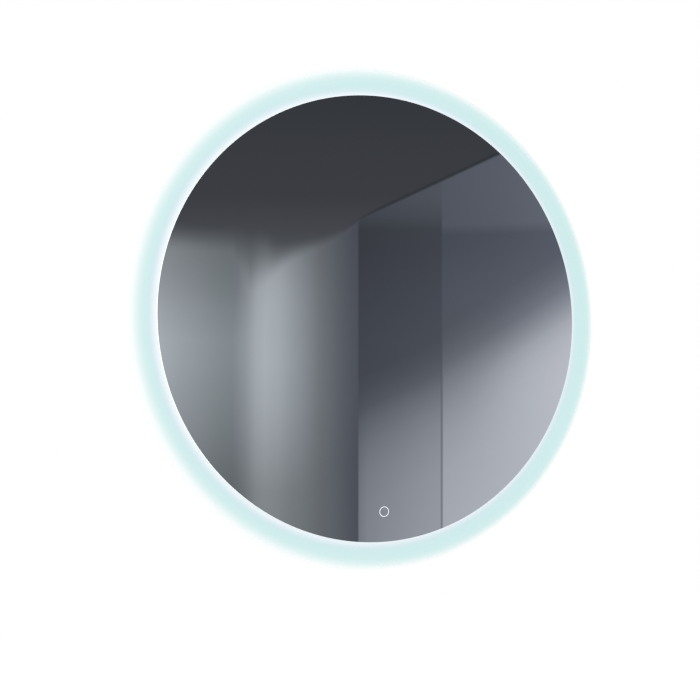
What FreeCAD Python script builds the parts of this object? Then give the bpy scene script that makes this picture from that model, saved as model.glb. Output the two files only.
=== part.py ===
import FreeCAD, Part
import math
import os
import re
import Sketcher
from FreeCAD import Vector

# Round bathroom mirror with a lit acrylic ring round its glass, hung on a wall by two hooked rails.
# Millimetres. +Z is up, the glass faces -Y, and the wall's face is the plane Y = 0.
# The origin is the middle of the wall rail's row of screw slots, on the wall's face.

sizes = {
    # mirror glass
    "overall_depth": 46,
    "glass_radius": 355,
    "glass_thickness": 5,
    "glass_bevel": 1.5,
    "film_thickness": 0.3,
    "film_inset": 2,
    "icon_inset": 48.6,
    # straight lengths of foam tape and a gasket behind the glass, both squeezed to the tape's thickness
    "tape_thickness": 1,
    "tape_width": 9,
    "tape_inset": 1,
    "tape_count": 12,
    "gasket_width": 3,
    # lit acrylic ring
    "ring_overhang": 45,
    "ring_thickness": 6,
    "ring_edge_bevel": 1.5,
    "ring_screw_inset": 5.5,
    "ring_screw_count": 8,
    "ring_head_height": 0.8,
    "reflector_thickness": 0.3,
    # diodes on their ribbon
    "strip_thickness": 0.25,
    "strip_width": 5,
    "strip_gap": 3,
    "diode_pitch": 33.3,
    "diode_across": 2.8,
    "diode_along": 3.5,
    "diode_height": 0.8,
    "diode_clearance": 1.5,
    # aluminium hoop that carries the ribbon
    "hoop_inset": 17,
    "hoop_width": 18,
    "hoop_web": 2,
    "hoop_flange": 1.5,
    "hoop_gap": 1,
    "hoop_screw_count": 8,
    "joiner_thickness": 1.2,
    "joiner_span": 8,
    "joiner_screw_x": 14,
    "joiner_clearance": 0.5,
    # pressed steel pan
    "pan_inset": 55,
    "pan_sheet": 1,
    "pan_bend": 2,
    "pan_draft": 4,
    "flange_inset": 5,
    "bead_inset": 22,
    "bead_width": 14,
    "bead_depth": 3,
    "bead_slope": 2.5,
    "rib_inset": 47,
    "rib_length": 52,
    "rib_width": 14,
    "rib_depth": 3,
    "rib_corner": 4,
    "rib_taper": 30,
    "rib_count": 9,
    # wall rail and the hanger rail that hooks over it
    "rail_sheet": 2.5,
    "rail_length": 300,
    "rail_below": 13,
    "rail_step": 15,
    "rail_lip": 16,
    "rail_bevel": 0.8,
    "rail_inset": 95,
    "rail_face_gap": 1,
    "hook_clearance": 0.5,
    "hook_foot_gap": 2,
    "hanger_length": 260,
    "hanger_height": 28,
    "hanger_screw_pitch": 70,
    "hanger_screw_count": 4,
    "backing_thickness": 3,
    "backing_height": 22,
    "slot_spacing": 240,
    "slot_length": 14,
    "slot_width": 5.5,
    # wall bumpers
    "bumper_inset": 52,
    "bumper_radius": 11,
    "bumper_round": 2,
    # service cover, its cable grommet and the terminal block on it
    "cover_x": -105,
    "cover_z": 30,
    "cover_width": 134,
    "cover_height": 92,
    "cover_corner": 8,
    "cover_lap": 12,
    "cover_sheet": 1,
    "cover_screw_inset": 6,
    "cover_screw_reach": 3,
    "grommet_bore": 4,
    "grommet_neck": 6.5,
    "grommet_flange": 9.5,
    "grommet_lip": 2,
    "grommet_sleeve": 10,
    "grommet_offset": 34,
    "block_offset": 20,
    "block_width": 26,
    "block_height": 36,
    "block_depth": 15,
    "block_shoulder": 5,
    "block_step": 6,
    "pole_pitch": 11,
    "pole_screw_offset": 4,
    "pole_screw_radius": 1.75,
    "pole_screw_length": 4,
    # driver for the diodes
    "driver_x": 95,
    "driver_z": 40,
    "driver_length": 128,
    "driver_height": 44,
    "driver_depth": 21,
    "driver_wall": 1.6,
    "driver_ear": 14,
    "driver_corner": 4,
    "driver_lead_spread": 8,
    "board_thickness": 1.6,
    "board_stand": 3,
    "board_clearance": 1,
    "board_post": 2,
    "transformer_length": 26,
    "transformer_height": 22,
    "transformer_depth": 12,
    "transformer_winding": 13,
    "transformer_yoke": 4.4,
    "capacitor_radius": 5,
    "capacitor_length": 11,
    "capacitor_pitch": 12,
    "capacitor_count": 3,
    # touch switch behind the glass
    "touch_width": 44,
    "touch_height": 26,
    "touch_depth": 6,
    "touch_wall": 1.2,
    "touch_rise": 3,
    "touch_board": 1,
    "touch_clearance": 0.5,
    "icon_outer": 8,
    "icon_inner": 6.2,
    "sensor_radius": 4.5,
    # studs, nuts and screws
    "stud_radius": 2,
    "stud_length": 8,
    "stud_nut_width": 7,
    "stud_nut_height": 3.2,
    "small_screw": 1.5,
    "small_head": 3,
    "small_head_height": 1.8,
    "small_nut_width": 5.5,
    "small_nut_height": 2.4,
    "large_screw": 2,
    "large_head": 4,
    "large_head_height": 2.2,
    "screw_end": 1,
    "hole_clearance": 0.2,
    # leads inside the pan
    "wire_radius": 1.4,
    "lead_radius": 1.2,
    "lead_clearance": 0.2,
    "earth_x": -22,
    "earth_z": -40,
    "earth_ring": 4.5,
    "earth_ring_sheet": 1,
    "earth_barrel": 2,
    "earth_barrel_length": 7,
    "earth_socket": 3,
    "earth_lap": 2,
    "clip_base": 1.2,
    "clip_wall": 1,
    "clip_length": 8,
    "clip_offset": 14,
    "clip_drop": 34,
    "clip_run": 50,
}

doc = FreeCAD.newDocument("lighted_mirror")
sheet = doc.addObject("Spreadsheet::Sheet", "Sizes")
for row, (alias, number) in enumerate(sizes.items(), 1):
    sheet.set(f"A{row}", alias.replace("_", " "))
    sheet.set(f"B{row}", str(number))
    sheet.setAlias(f"B{row}", alias)
doc.recompute()


def bound(formula):
    """A formula with each size's name turned into a reference to its cell."""
    return re.sub(r"[a-z_]+", lambda m: "Sizes." + m[0] if m[0] in sizes else m[0], formula)


def value(formula):
    """A formula's number at the sizes that the sheet holds."""
    result = sheet.evalExpression(bound(formula))
    return float(getattr(result, "Value", result))


# Depths, as formulas, from the glass's face back to the wall
glass_front = "(-overall_depth)"
glass_back = f"({glass_front} + glass_thickness)"
film_back = f"({glass_back} + film_thickness)"
ring_front = f"({film_back} + tape_thickness)"
ring_back = f"({ring_front} + ring_thickness)"
flange_front = f"({ring_back} + reflector_thickness)"
flange_back = f"({flange_front} + pan_sheet)"
wall_gap = "(4 * rail_sheet + 2 * hook_clearance + rail_face_gap)"
floor_back = f"(-{wall_gap})"
floor_front = f"({floor_back} - pan_sheet)"
lead_level = f"({floor_front} - clip_base - lead_radius)"

# Radii, as formulas, from the middle of the glass
hoop_outer = "(glass_radius - hoop_inset)"
hoop_inner = f"({hoop_outer} - hoop_width)"
hoop_screw_circle = f"({hoop_outer} - hoop_width / 2)"
strip_outer = f"({hoop_outer} + strip_thickness)"
ring_inner = f"({strip_outer} + diode_height + diode_clearance)"
ring_outer = "(glass_radius + ring_overhang)"
ring_screw_circle = f"({ring_inner} + ring_screw_inset)"
flange_outer = "(glass_radius - flange_inset)"
pan_outer = "(glass_radius - pan_inset)"
bead_middle = f"({pan_outer} - bead_inset)"
rib_end = f"({pan_outer} - rib_inset)"
rib_start = f"({rib_end} - rib_length)"

# Heights, as formulas: the rails above the slots, and the glass's middle below them
hook_rest = "(rail_step + rail_lip)"
hanger_middle = f"({hook_rest} + hanger_height / 2)"
glass_drop = f"({pan_outer} - rail_inset - {hanger_middle})"
icon_drop = "(glass_radius - icon_inset)"


def origin_feature(body, role):
    """The body's own origin plane or axis of this role."""
    return next(f for f in body.Origin.OriginFeatures if f.Role == role)


def new_body(label, z=None):
    """An empty body, lifted by the formula z where one is given."""
    body = doc.addObject("PartDesign::Body", label)
    body.Label = label
    if z:
        body.setExpression("Placement.Base.z", bound(z))
    return body


def mirror_body(label):
    """A body that is drawn from the middle of the glass, on the wall's plane."""
    return new_body(label, f"-{glass_drop}")


def new_sketch(body, role, offset=("0", "0", "0")):
    """A sketch on an origin plane, moved by formulas along the plane's own axes."""
    sketch = body.newObject("Sketcher::SketchObject", f"{body.Label}_sketch")
    sketch.AttachmentSupport = [(origin_feature(body, role), "")]
    sketch.MapMode = "FlatFace"
    for axis, formula in zip("xyz", offset):
        sketch.setExpression(f"AttachmentOffset.Base.{axis}", bound(formula))
    return sketch


def pin(sketch, kind, formula, *place):
    """A dimension that follows a formula, or a place on the axis where the formula is 0."""
    if formula == "0" and kind in ("DistanceX", "DistanceY"):
        axis = -2 if kind == "DistanceX" else -1
        sketch.addConstraint(Sketcher.Constraint("PointOnObject", *place, axis))
        return
    index = sketch.addConstraint(Sketcher.Constraint(kind, *place, value(formula)))
    sketch.setExpression(f"Constraints[{index}]", bound(formula))


def add_outline(sketch, points):
    """A closed outline of straight lines through points given as pairs of formulas."""
    corners = [Vector(value(across), value(up), 0) for across, up in points]
    first = sketch.GeometryCount
    count = len(corners)
    for index in range(count):
        line = Part.LineSegment(corners[index], corners[(index + 1) % count])
        sketch.addGeometry(line, False)
    for index in range(count):
        after = first + (index + 1) % count
        sketch.addConstraint(Sketcher.Constraint("Coincident", first + index, 2, after, 1))
    for index, (across, up) in enumerate(points):
        pin(sketch, "DistanceX", across, first + index, 1)
        pin(sketch, "DistanceY", up, first + index, 1)


def add_circle(sketch, across, up, radius):
    """A circle whose centre and radius are formulas."""
    centre = Vector(value(across), value(up), 0)
    index = sketch.addGeometry(Part.Circle(centre, Vector(0, 0, 1), value(radius)), False)
    pin(sketch, "Radius", radius, index)
    pin(sketch, "DistanceX", across, index, 3)
    pin(sketch, "DistanceY", up, index, 3)


def add_rounded(sketch, left, right, low, high, corner):
    """A rectangle with four round corners, its sides and corner radius given as formulas."""
    x0, x1, y0, y1, r = (value(f) for f in (left, right, low, high, corner))
    starts = [(x0 + r, y0), (x1, y0 + r), (x1 - r, y1), (x0, y1 - r)]
    ends = [(x1 - r, y0), (x1, y1 - r), (x0 + r, y1), (x0, y0 + r)]
    centres = [(x1 - r, y0 + r), (x1 - r, y1 - r), (x0 + r, y1 - r), (x0 + r, y0 + r)]
    lines = []
    arcs = []
    for side in range(4):
        line = Part.LineSegment(Vector(*starts[side], 0), Vector(*ends[side], 0))
        lines.append(sketch.addGeometry(line, False))
        circle = Part.Circle(Vector(*centres[side], 0), Vector(0, 0, 1), r)
        start = (side - 1) * math.pi / 2
        arcs.append(sketch.addGeometry(Part.ArcOfCircle(circle, start, start + math.pi / 2), False))
    for side in range(4):
        sketch.addConstraint(Sketcher.Constraint("Tangent", lines[side], 2, arcs[side], 1))
        sketch.addConstraint(Sketcher.Constraint("Tangent", arcs[side], 2, lines[(side + 1) % 4], 1))
        sketch.addConstraint(Sketcher.Constraint("Vertical" if side % 2 else "Horizontal", lines[side]))
    for side in range(1, 4):
        sketch.addConstraint(Sketcher.Constraint("Equal", arcs[0], arcs[side]))
    pin(sketch, "Radius", corner, arcs[0])
    pin(sketch, "DistanceY", low, lines[0], 1)
    pin(sketch, "DistanceX", right, lines[1], 1)
    pin(sketch, "DistanceY", high, lines[2], 1)
    pin(sketch, "DistanceX", left, lines[3], 1)


def add_slot(sketch, left, right, up, radius):
    """A level slot between two end centres, all formulas."""
    x0, x1, y, r = (value(f) for f in (left, right, up, radius))
    half = math.pi / 2
    arcs = []
    for x, start in ((x0, half), (x1, -half)):
        circle = Part.Circle(Vector(x, y, 0), Vector(0, 0, 1), r)
        arcs.append(sketch.addGeometry(Part.ArcOfCircle(circle, start, start + math.pi), False))
    low = sketch.addGeometry(Part.LineSegment(Vector(x0, y - r, 0), Vector(x1, y - r, 0)), False)
    high = sketch.addGeometry(Part.LineSegment(Vector(x1, y + r, 0), Vector(x0, y + r, 0)), False)
    for first, second in ((arcs[0], low), (low, arcs[1]), (arcs[1], high), (high, arcs[0])):
        sketch.addConstraint(Sketcher.Constraint("Tangent", first, 2, second, 1))
    sketch.addConstraint(Sketcher.Constraint("Equal", arcs[0], arcs[1]))
    pin(sketch, "Radius", radius, arcs[0])
    pin(sketch, "DistanceX", left, arcs[0], 3)
    pin(sketch, "DistanceY", up, arcs[0], 3)
    pin(sketch, "DistanceX", right, arcs[1], 3)
    sketch.addConstraint(Sketcher.Constraint("Horizontal", low))


def add_polygon(sketch, across, up, width, sides=8):
    """A regular polygon of a width across its flats. Small round things that repeat have eight sides."""
    reach = f"{width} / 2 / cos({180 / sides} * 1 deg)"
    centre = Vector(value(across), value(up), 0)
    corners = []
    for index in range(sides):
        angle = math.radians((index - 0.5) * 360 / sides)
        corners.append(centre + Vector(math.cos(angle), math.sin(angle), 0) * value(reach))
    circle = sketch.addGeometry(Part.Circle(centre, Vector(0, 0, 1), value(reach)), True)
    for index in range(sides):
        line = Part.LineSegment(corners[index], corners[(index + 1) % sides])
        sketch.addGeometry(line, False)
    for index in range(sides):
        side = circle + 1 + index
        after = circle + 1 + (index + 1) % sides
        sketch.addConstraint(Sketcher.Constraint("Coincident", side, 2, after, 1))
        sketch.addConstraint(Sketcher.Constraint("PointOnObject", side, 1, circle))
        if index:
            sketch.addConstraint(Sketcher.Constraint("Equal", circle + 1, side))
    sketch.addConstraint(Sketcher.Constraint("Vertical", circle + 1))
    pin(sketch, "Radius", reach, circle)
    pin(sketch, "DistanceX", across, circle, 3)
    pin(sketch, "DistanceY", up, circle, 3)


def feature(body, kind, sketch, length, reverse=False):
    """A pad or pocket of a sketch, as long as a formula says."""
    made = body.newObject(f"PartDesign::{kind}", f"{body.Label}_{kind.lower()}")
    made.Profile = sketch
    made.Reversed = reverse
    made.setExpression("Length", bound(length))
    return made


def face_sketch(body, level):
    """A sketch that faces the viewer, in the plane where Y is the formula level."""
    return new_sketch(body, "XZ_Plane", ("0", "0", f"-{level}"))


def pad_forward(body, sketch, back, front):
    """Material from the depth back, where the sketch lies, out to the depth front."""
    return feature(body, "Pad", sketch, f"{back} - {front}")


def pocket_back(body, sketch, front, back):
    """A cut from the depth front, where the sketch lies, in to the depth back."""
    return feature(body, "Pocket", sketch, f"{back} - {front}")


def slab(body, left, right, low, high, back, front, corner=None):
    """A block between depths, with round corners where a radius is given."""
    sketch = face_sketch(body, back)
    if corner:
        add_rounded(sketch, left, right, low, high, corner)
    else:
        add_outline(sketch, [(left, low), (right, low), (right, high), (left, high)])
    return pad_forward(body, sketch, back, front)


def opening(body, left, right, low, high, front, back, corner=None):
    """The same as slab, cut out."""
    sketch = face_sketch(body, front)
    if corner:
        add_rounded(sketch, left, right, low, high, corner)
    else:
        add_outline(sketch, [(left, low), (right, low), (right, high), (left, high)])
    return pocket_back(body, sketch, front, back)


def bore(body, across, up, radius, front, back):
    """A round hole along Y."""
    sketch = face_sketch(body, front)
    add_circle(sketch, across, up, radius)
    return pocket_back(body, sketch, front, back)


def pegs(body, places, radius, back, front):
    """Small eight-sided bars along Y, such as screws' shanks, at (across, up) places."""
    sketch = face_sketch(body, back)
    for across, up in places:
        add_polygon(sketch, across, up, f"2 * ({radius})")
    return pad_forward(body, sketch, back, front)


def peg_holes(body, places, radius, front, back):
    """The same as pegs, cut out."""
    sketch = face_sketch(body, front)
    for across, up in places:
        add_polygon(sketch, across, up, f"2 * ({radius})")
    return pocket_back(body, sketch, front, back)


def turned(body, points, across="0", up="0"):
    """A profile of (radius, depth) points turned about the Y line through (across, up)."""
    sketch = new_sketch(body, "XY_Plane", (across, "0", up))
    add_outline(sketch, points)
    made = body.newObject("PartDesign::Revolution", f"{body.Label}_revolution")
    made.Profile = sketch
    made.ReferenceAxis = (sketch, ["V_Axis"])
    made.Angle = 360
    return made


def around(body, originals, count, angle="360"):
    """Copies of features about the Y axis, spread over an angle."""
    pattern = body.newObject("PartDesign::PolarPattern", f"{body.Label}_polar")
    pattern.Originals = originals
    pattern.Axis = (origin_feature(body, "Y_Axis"), [""])
    pattern.setExpression("Angle", bound(angle))
    pattern.setExpression("Occurrences", bound(count))
    body.Tip = pattern
    return pattern


def along(body, originals, role, span, count):
    """Copies of features in a row along an axis, the last a span from the first."""
    pattern = body.newObject("PartDesign::LinearPattern", f"{body.Label}_row")
    pattern.Originals = originals
    pattern.Direction = (origin_feature(body, role), [""])
    pattern.setExpression("Length", bound(span))
    pattern.setExpression("Occurrences", bound(count))
    body.Tip = pattern
    return pattern


def washer(label, inner, outer, front, back):
    """A flat ring round the middle of the glass."""
    body = mirror_body(label)
    turned(body, [(inner, front), (outer, front), (outer, back), (inner, back)])
    return body


def polar_place(radius, degrees):
    """Formulas for a point at a radius and an angle from +X towards +Z."""
    return f"({radius} * cos({degrees} * 1 deg))", f"({radius} * sin({degrees} * 1 deg))"


# ---- glass, film and what sticks them on ----

def make_glass():
    """Flat silvered glass with a bevelled front edge."""
    body = mirror_body("mirror_glass")
    turned(body, [
        ("0", glass_front),
        ("glass_radius - glass_bevel", glass_front),
        ("glass_radius", f"{glass_front} + glass_bevel"),
        ("glass_radius", glass_back),
        ("0", glass_back),
    ])


# Sides of the touch switch's case: the icon sits a little below the case's middle
touch_left = "(-touch_width / 2)"
touch_right = "(touch_width / 2)"
touch_low = f"(-{icon_drop} + touch_rise - touch_height / 2)"
touch_high = f"({touch_low} + touch_height)"


def make_film():
    """Safety film on the glass's back, cut away for the touch switch."""
    body = mirror_body("safety_film")
    radius = "glass_radius - film_inset"
    turned(body, [("0", glass_back), (radius, glass_back), (radius, film_back), ("0", film_back)])
    gap = "touch_clearance"
    box = (touch_left, touch_right, touch_low, touch_high)
    window = [f"{side} {sign} {gap}" for side, sign in zip(box, "-+-+")]
    opening(body, *window, glass_back, film_back)


def make_tape_and_gasket():
    """Straight lengths of foam tape on the hoop, each as long as the hoop has room for, and a gasket."""
    tape = mirror_body("glass_tape")
    low = f"({hoop_inner} + tape_inset)"
    high = f"({low} + tape_width)"
    half = f"sqrt(({hoop_outer} - tape_inset) ^ 2 - {high} ^ 2)"
    first = slab(tape, f"-{half}", half, low, high, ring_front, film_back)
    around(tape, [first], "tape_count")
    outer = "(glass_radius - film_inset)"
    washer("edge_gasket", f"{outer} - gasket_width", outer, film_back, ring_front)


# ---- lit ring, diodes and their hoop ----

first_ring_screw = (ring_screw_circle, "0")


def make_light_ring():
    """Clear acrylic ring with a bevelled rim and screw holes under the glass."""
    body = mirror_body("light_ring")
    bevel = "ring_edge_bevel"
    turned(body, [
        (ring_inner, ring_front),
        (f"{ring_outer} - {bevel}", ring_front),
        (ring_outer, f"{ring_front} + {bevel}"),
        (ring_outer, f"{ring_back} - {bevel}"),
        (f"{ring_outer} - {bevel}", ring_back),
        (ring_inner, ring_back),
    ])
    hole = peg_holes(body, [first_ring_screw], "small_screw + hole_clearance", ring_front, ring_back)
    around(body, [hole], "ring_screw_count")


def make_reflector():
    """White film between the acrylic and the pan's flange."""
    body = washer("ring_reflector", ring_inner, flange_outer, ring_back, flange_front)
    clear = "small_screw + hole_clearance"
    hole = peg_holes(body, [first_ring_screw], clear, ring_back, flange_front)
    around(body, [hole], "ring_screw_count")


first_hoop_screw = polar_place(hoop_screw_circle, "(180 / hoop_screw_count)")
joiner_rise = f"sqrt({hoop_screw_circle} ^ 2 - joiner_screw_x ^ 2)"
joiner_screws = (("joiner_screw_x", joiner_rise), ("-joiner_screw_x", joiner_rise))


def around_hoop(body, make):
    """The features that make puts at a list of places, at every screw of the hoop."""
    around(body, make([first_hoop_screw]), "hoop_screw_count")
    make(joiner_screws)


strip_low = f"(({ring_front} + {flange_front}) / 2 - strip_width / 2)"
strip_high = f"({strip_low} + strip_width)"
strip_middle = f"({strip_low} + strip_width / 2)"


def make_hoop():
    """Channel bent into a hoop, open inwards, with a butt gap at the top."""
    body = mirror_body("led_hoop")
    web_inside = f"({hoop_outer} - hoop_web)"
    channel_front = f"({ring_front} + hoop_flange)"
    channel_back = f"({flange_front} - hoop_flange)"
    turned(body, [
        (hoop_inner, ring_front),
        (hoop_outer, ring_front),
        (hoop_outer, flange_front),
        (hoop_inner, flange_front),
        (hoop_inner, channel_back),
        (web_inside, channel_back),
        (web_inside, channel_front),
        (hoop_inner, channel_front),
    ])
    opening(
        body, "-hoop_gap / 2", "hoop_gap / 2", f"{hoop_inner} - screw_end", f"{hoop_outer} + screw_end",
        ring_front, flange_front,
    )
    sketch = new_sketch(body, "YZ_Plane", ("0", "0", f"{hoop_outer} + screw_end"))
    add_polygon(sketch, strip_middle, "0", "2 * (lead_radius + lead_clearance)")
    feature(body, "Pocket", sketch, "hoop_web + 2 * screw_end")
    around_hoop(body, lambda places: [peg_holes(body, places, "small_screw", channel_back, flange_front)])


def make_joiner():
    """Curved plate in the channel, across the hoop's butt gap."""
    body = mirror_body("hoop_joiner")
    back = f"({flange_front} - hoop_flange)"
    front = f"({back} - joiner_thickness)"
    inner = f"({hoop_inner} + joiner_clearance)"
    outer = f"({hoop_outer} - hoop_web - joiner_clearance)"
    sketch = new_sketch(body, "YZ_Plane")
    add_outline(sketch, [(front, inner), (back, inner), (back, outer), (front, outer)])
    arc = body.newObject("PartDesign::Revolution", "hoop_joiner_arc")
    arc.Profile = sketch
    arc.ReferenceAxis = (sketch, ["H_Axis"])
    arc.Midplane = True
    arc.setExpression("Angle", bound("joiner_span * 1 deg"))
    peg_holes(body, joiner_screws, "small_screw", front, back)


def make_strip():
    """Ribbon round the hoop, open above the hoop's butt gap."""
    body = washer("led_strip", hoop_outer, strip_outer, strip_low, strip_high)
    opening(
        body, "-strip_gap / 2", "strip_gap / 2", f"{hoop_outer} - screw_end", f"{strip_outer} + screw_end",
        strip_low, strip_high,
    )


def make_diodes():
    """An odd number of diodes, one of them at the bottom, so that none meets the gap at the top."""
    body = mirror_body("leds")
    first = slab(
        body, "-diode_along / 2", "diode_along / 2", f"-{strip_outer} - diode_height", f"-{strip_outer}",
        f"({strip_middle} + diode_across / 2)", f"({strip_middle} - diode_across / 2)",
    )
    around(body, [first], f"2 * floor(pi * {strip_outer} / diode_pitch) + 1")


# ---- pressed pan ----

cover_left = "(cover_x - cover_width / 2)"
cover_right = "(cover_x + cover_width / 2)"
cover_low = "(cover_z - cover_height / 2)"
cover_high = "(cover_z + cover_height / 2)"
cover_screws = [
    (f"({cover_left} + cover_screw_inset)", f"({cover_low} + cover_screw_inset)"),
    (f"({cover_right} - cover_screw_inset)", f"({cover_low} + cover_screw_inset)"),
    (f"({cover_right} - cover_screw_inset)", f"({cover_high} - cover_screw_inset)"),
    (f"({cover_left} + cover_screw_inset)", f"({cover_high} - cover_screw_inset)"),
]
ear_reach = "(driver_length / 2 + driver_ear / 2)"
driver_studs = ((f"(driver_x - {ear_reach})", "driver_z"), (f"(driver_x + {ear_reach})", "driver_z"))
hanger_z = f"({pan_outer} - rail_inset)"
hanger_screw_first = "(-hanger_screw_pitch * (hanger_screw_count - 1) / 2)"
hanger_screw_span = "(hanger_screw_pitch * (hanger_screw_count - 1))"


def bend(radius, depth, leg, side):
    """Ends of the flat that stands for a bend: on the level sheet, and on the drafted wall.

    The side is -1 at the floor, which lies inwards of the wall, and 1 at the flange, outwards of it.
    """
    lean = f"(pan_draft / ({floor_back} - {flange_back}))"
    level = (f"{radius} + {side} * ({leg})", depth)
    wall = (f"{radius} - {side} * ({leg}) * {lean}", f"{depth} + {side} * ({leg})")
    return level, wall


def pan_shell(body):
    """Floor with a pressed bead, a drafted side wall and a flange for the ring."""
    rim = f"({pan_outer} + pan_draft)"
    bead_in = f"({bead_middle} - bead_width / 2)"
    bead_out = f"({bead_middle} + bead_width / 2)"
    outside = "pan_bend + pan_sheet"
    floor_level, floor_wall = bend(pan_outer, floor_back, outside, -1)
    flange_level, flange_wall = bend(rim, flange_back, "pan_bend", 1)
    front_level, front_wall = bend(f"({rim} - pan_sheet)", flange_front, outside, 1)
    inner_level, inner_wall = bend(f"({pan_outer} - pan_sheet)", floor_front, "pan_bend", -1)
    turned(body, [
        ("0", floor_back),
        (bead_in, floor_back),
        (f"{bead_in} + bead_slope", f"{floor_back} - bead_depth"),
        (f"{bead_out} - bead_slope", f"{floor_back} - bead_depth"),
        (bead_out, floor_back),
        floor_level,
        floor_wall,
        flange_wall,
        flange_level,
        (flange_outer, flange_back),
        (flange_outer, flange_front),
        front_level,
        front_wall,
        inner_wall,
        inner_level,
        (f"{bead_out} + pan_sheet / 2", floor_front),
        (f"{bead_out} - bead_slope + pan_sheet / 2", f"{floor_front} - bead_depth"),
        (f"{bead_in} + bead_slope - pan_sheet / 2", f"{floor_front} - bead_depth"),
        (f"{bead_in} - pan_sheet / 2", floor_front),
        ("0", floor_front),
    ])


def rib_outline(sketch, inset):
    """A long octagon from the ribs' start to their end, drawn in by a formula."""
    low = f"({rib_start} + {inset})"
    high = f"({rib_end} - {inset})"
    side = f"(rib_width / 2 - {inset})"
    cut = "rib_corner"
    add_outline(sketch, [
        (low, f"-{side} + {cut}"),
        (f"{low} + {cut}", f"-{side}"),
        (f"{high} - {cut}", f"-{side}"),
        (high, f"-{side} + {cut}"),
        (high, f"{side} - {cut}"),
        (f"{high} - {cut}", side),
        (f"{low} + {cut}", side),
        (low, f"{side} - {cut}"),
    ])


def pan_ribs(body):
    """Pressed ribs over the lower half: a ridge inside, and the groove that it leaves outside."""
    ridge = face_sketch(body, floor_front)
    rib_outline(ridge, "0")
    raised = pad_forward(body, ridge, floor_front, f"({floor_front} - rib_depth)")
    raised.setExpression("TaperAngle", bound("-rib_taper"))
    around(body, [raised], "rib_count", "180")
    groove = face_sketch(body, floor_back)
    rib_outline(groove, "(pan_sheet * (1 / cos(rib_taper * 1 deg) - tan(rib_taper * 1 deg)))")
    pressed = feature(body, "Pocket", groove, "rib_depth", reverse=True)
    pressed.setExpression("TaperAngle", bound("-rib_taper"))
    around(body, [pressed], "rib_count", "180")


def make_pan():
    """The pan with its service window, holes, welded studs and ribs."""
    body = mirror_body("chassis_pan")
    pan_shell(body)
    box = (cover_left, cover_right, cover_low, cover_high)
    window = [f"{side} {sign} cover_lap" for side, sign in zip(box, "+-+-")]
    opening(body, *window, floor_front, floor_back)
    peg_holes(body, cover_screws, "small_screw", floor_front, floor_back)
    clear = "small_screw + hole_clearance"
    hole = peg_holes(body, [first_ring_screw], clear, flange_front, flange_back)
    around(body, [hole], "ring_screw_count")
    around_hoop(body, lambda places: [peg_holes(body, places, clear, flange_front, flange_back)])
    clear = "large_screw + hole_clearance"
    hole = peg_holes(body, [(hanger_screw_first, hanger_z)], clear, floor_front, floor_back)
    along(body, [hole], "X_Axis", hanger_screw_span, "hanger_screw_count")
    studs = (*driver_studs, ("earth_x", "earth_z"))
    pegs(body, studs, "stud_radius", floor_front, f"({floor_front} - stud_length)")
    pan_ribs(body)


def add_nut(body, across, up, width, hole, back, front):
    """A plain hexagonal nut on the Y line through (across, up)."""
    sketch = face_sketch(body, back)
    add_polygon(sketch, across, up, width, sides=6)
    add_polygon(sketch, across, up, f"2 * {hole}")
    return pad_forward(body, sketch, back, front)


def make_ring_fasteners():
    """Flat-headed screws through the acrylic, the reflector and the flange, and their nuts."""
    screws = mirror_body("ring_screws")
    nut_back = f"({flange_back} + small_nut_height)"
    place = [first_ring_screw]
    shank = pegs(screws, place, "small_screw", f"({nut_back} + screw_end)", ring_front)
    head = pegs(screws, place, "small_head", ring_front, f"({ring_front} - ring_head_height)")
    around(screws, [shank, head], "ring_screw_count")
    nuts = mirror_body("ring_nuts")
    nut = add_nut(nuts, *first_ring_screw, "small_nut_width", "small_screw", nut_back, flange_back)
    around(nuts, [nut], "ring_screw_count")


def back_screws(body, places, seat, tip, kind):
    """Screws put in from the wall's side, small or large: the seat of their heads and their tips are depths."""
    stems = pegs(body, places, f"{kind}_screw", seat, tip)
    heads = pegs(body, places, f"{kind}_head", f"({seat} + {kind}_head_height)", seat)
    return [stems, heads]


def make_hoop_screws():
    """Screws from behind the flange into the hoop, and into the joiner at the top."""
    body = mirror_body("hoop_screws")
    tip = f"({flange_front} - hoop_flange - joiner_thickness)"
    around_hoop(body, lambda places: back_screws(body, places, flange_back, tip, "small"))


# ---- rails ----

def rail_profile(body, points, length):
    """A (depth, height) profile carried along X, half of it each way."""
    sketch = new_sketch(body, "YZ_Plane", ("0", "0", f"-{length} / 2"))
    add_outline(sketch, points)
    return feature(body, "Pad", sketch, length)


lip_back = "(-rail_sheet - 2 * hook_clearance - rail_sheet)"
lip_front = f"({lip_back} - rail_sheet)"
hook_back = "(-rail_sheet - hook_clearance)"
hook_front = f"({hook_back} - rail_sheet)"


def make_wall_rail():
    """The rail on the wall: a slotted plate, stepped out at its top into an upright lip."""
    body = new_body("wall_rail")
    bevel = "rail_bevel"
    rail_profile(body, [
        ("0", "-rail_below"),
        ("0", "rail_step"),
        (lip_back, "rail_step"),
        (lip_back, f"{hook_rest} - {bevel}"),
        (f"{lip_back} - {bevel}", hook_rest),
        (f"{lip_front} + {bevel}", hook_rest),
        (lip_front, f"{hook_rest} - {bevel}"),
        (lip_front, "rail_step - rail_sheet"),
        ("-rail_sheet", "rail_step - rail_sheet"),
        ("-rail_sheet", "-rail_below"),
    ], "rail_length")
    sketch = face_sketch(body, "(-rail_sheet)")
    reach = "(slot_length - slot_width) / 2"
    for side in ("-", ""):
        middle = f"{side}slot_spacing / 2"
        add_slot(sketch, f"{middle} - {reach}", f"{middle} + {reach}", "0", "slot_width / 2")
    feature(body, "Pocket", sketch, "rail_sheet")


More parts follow.
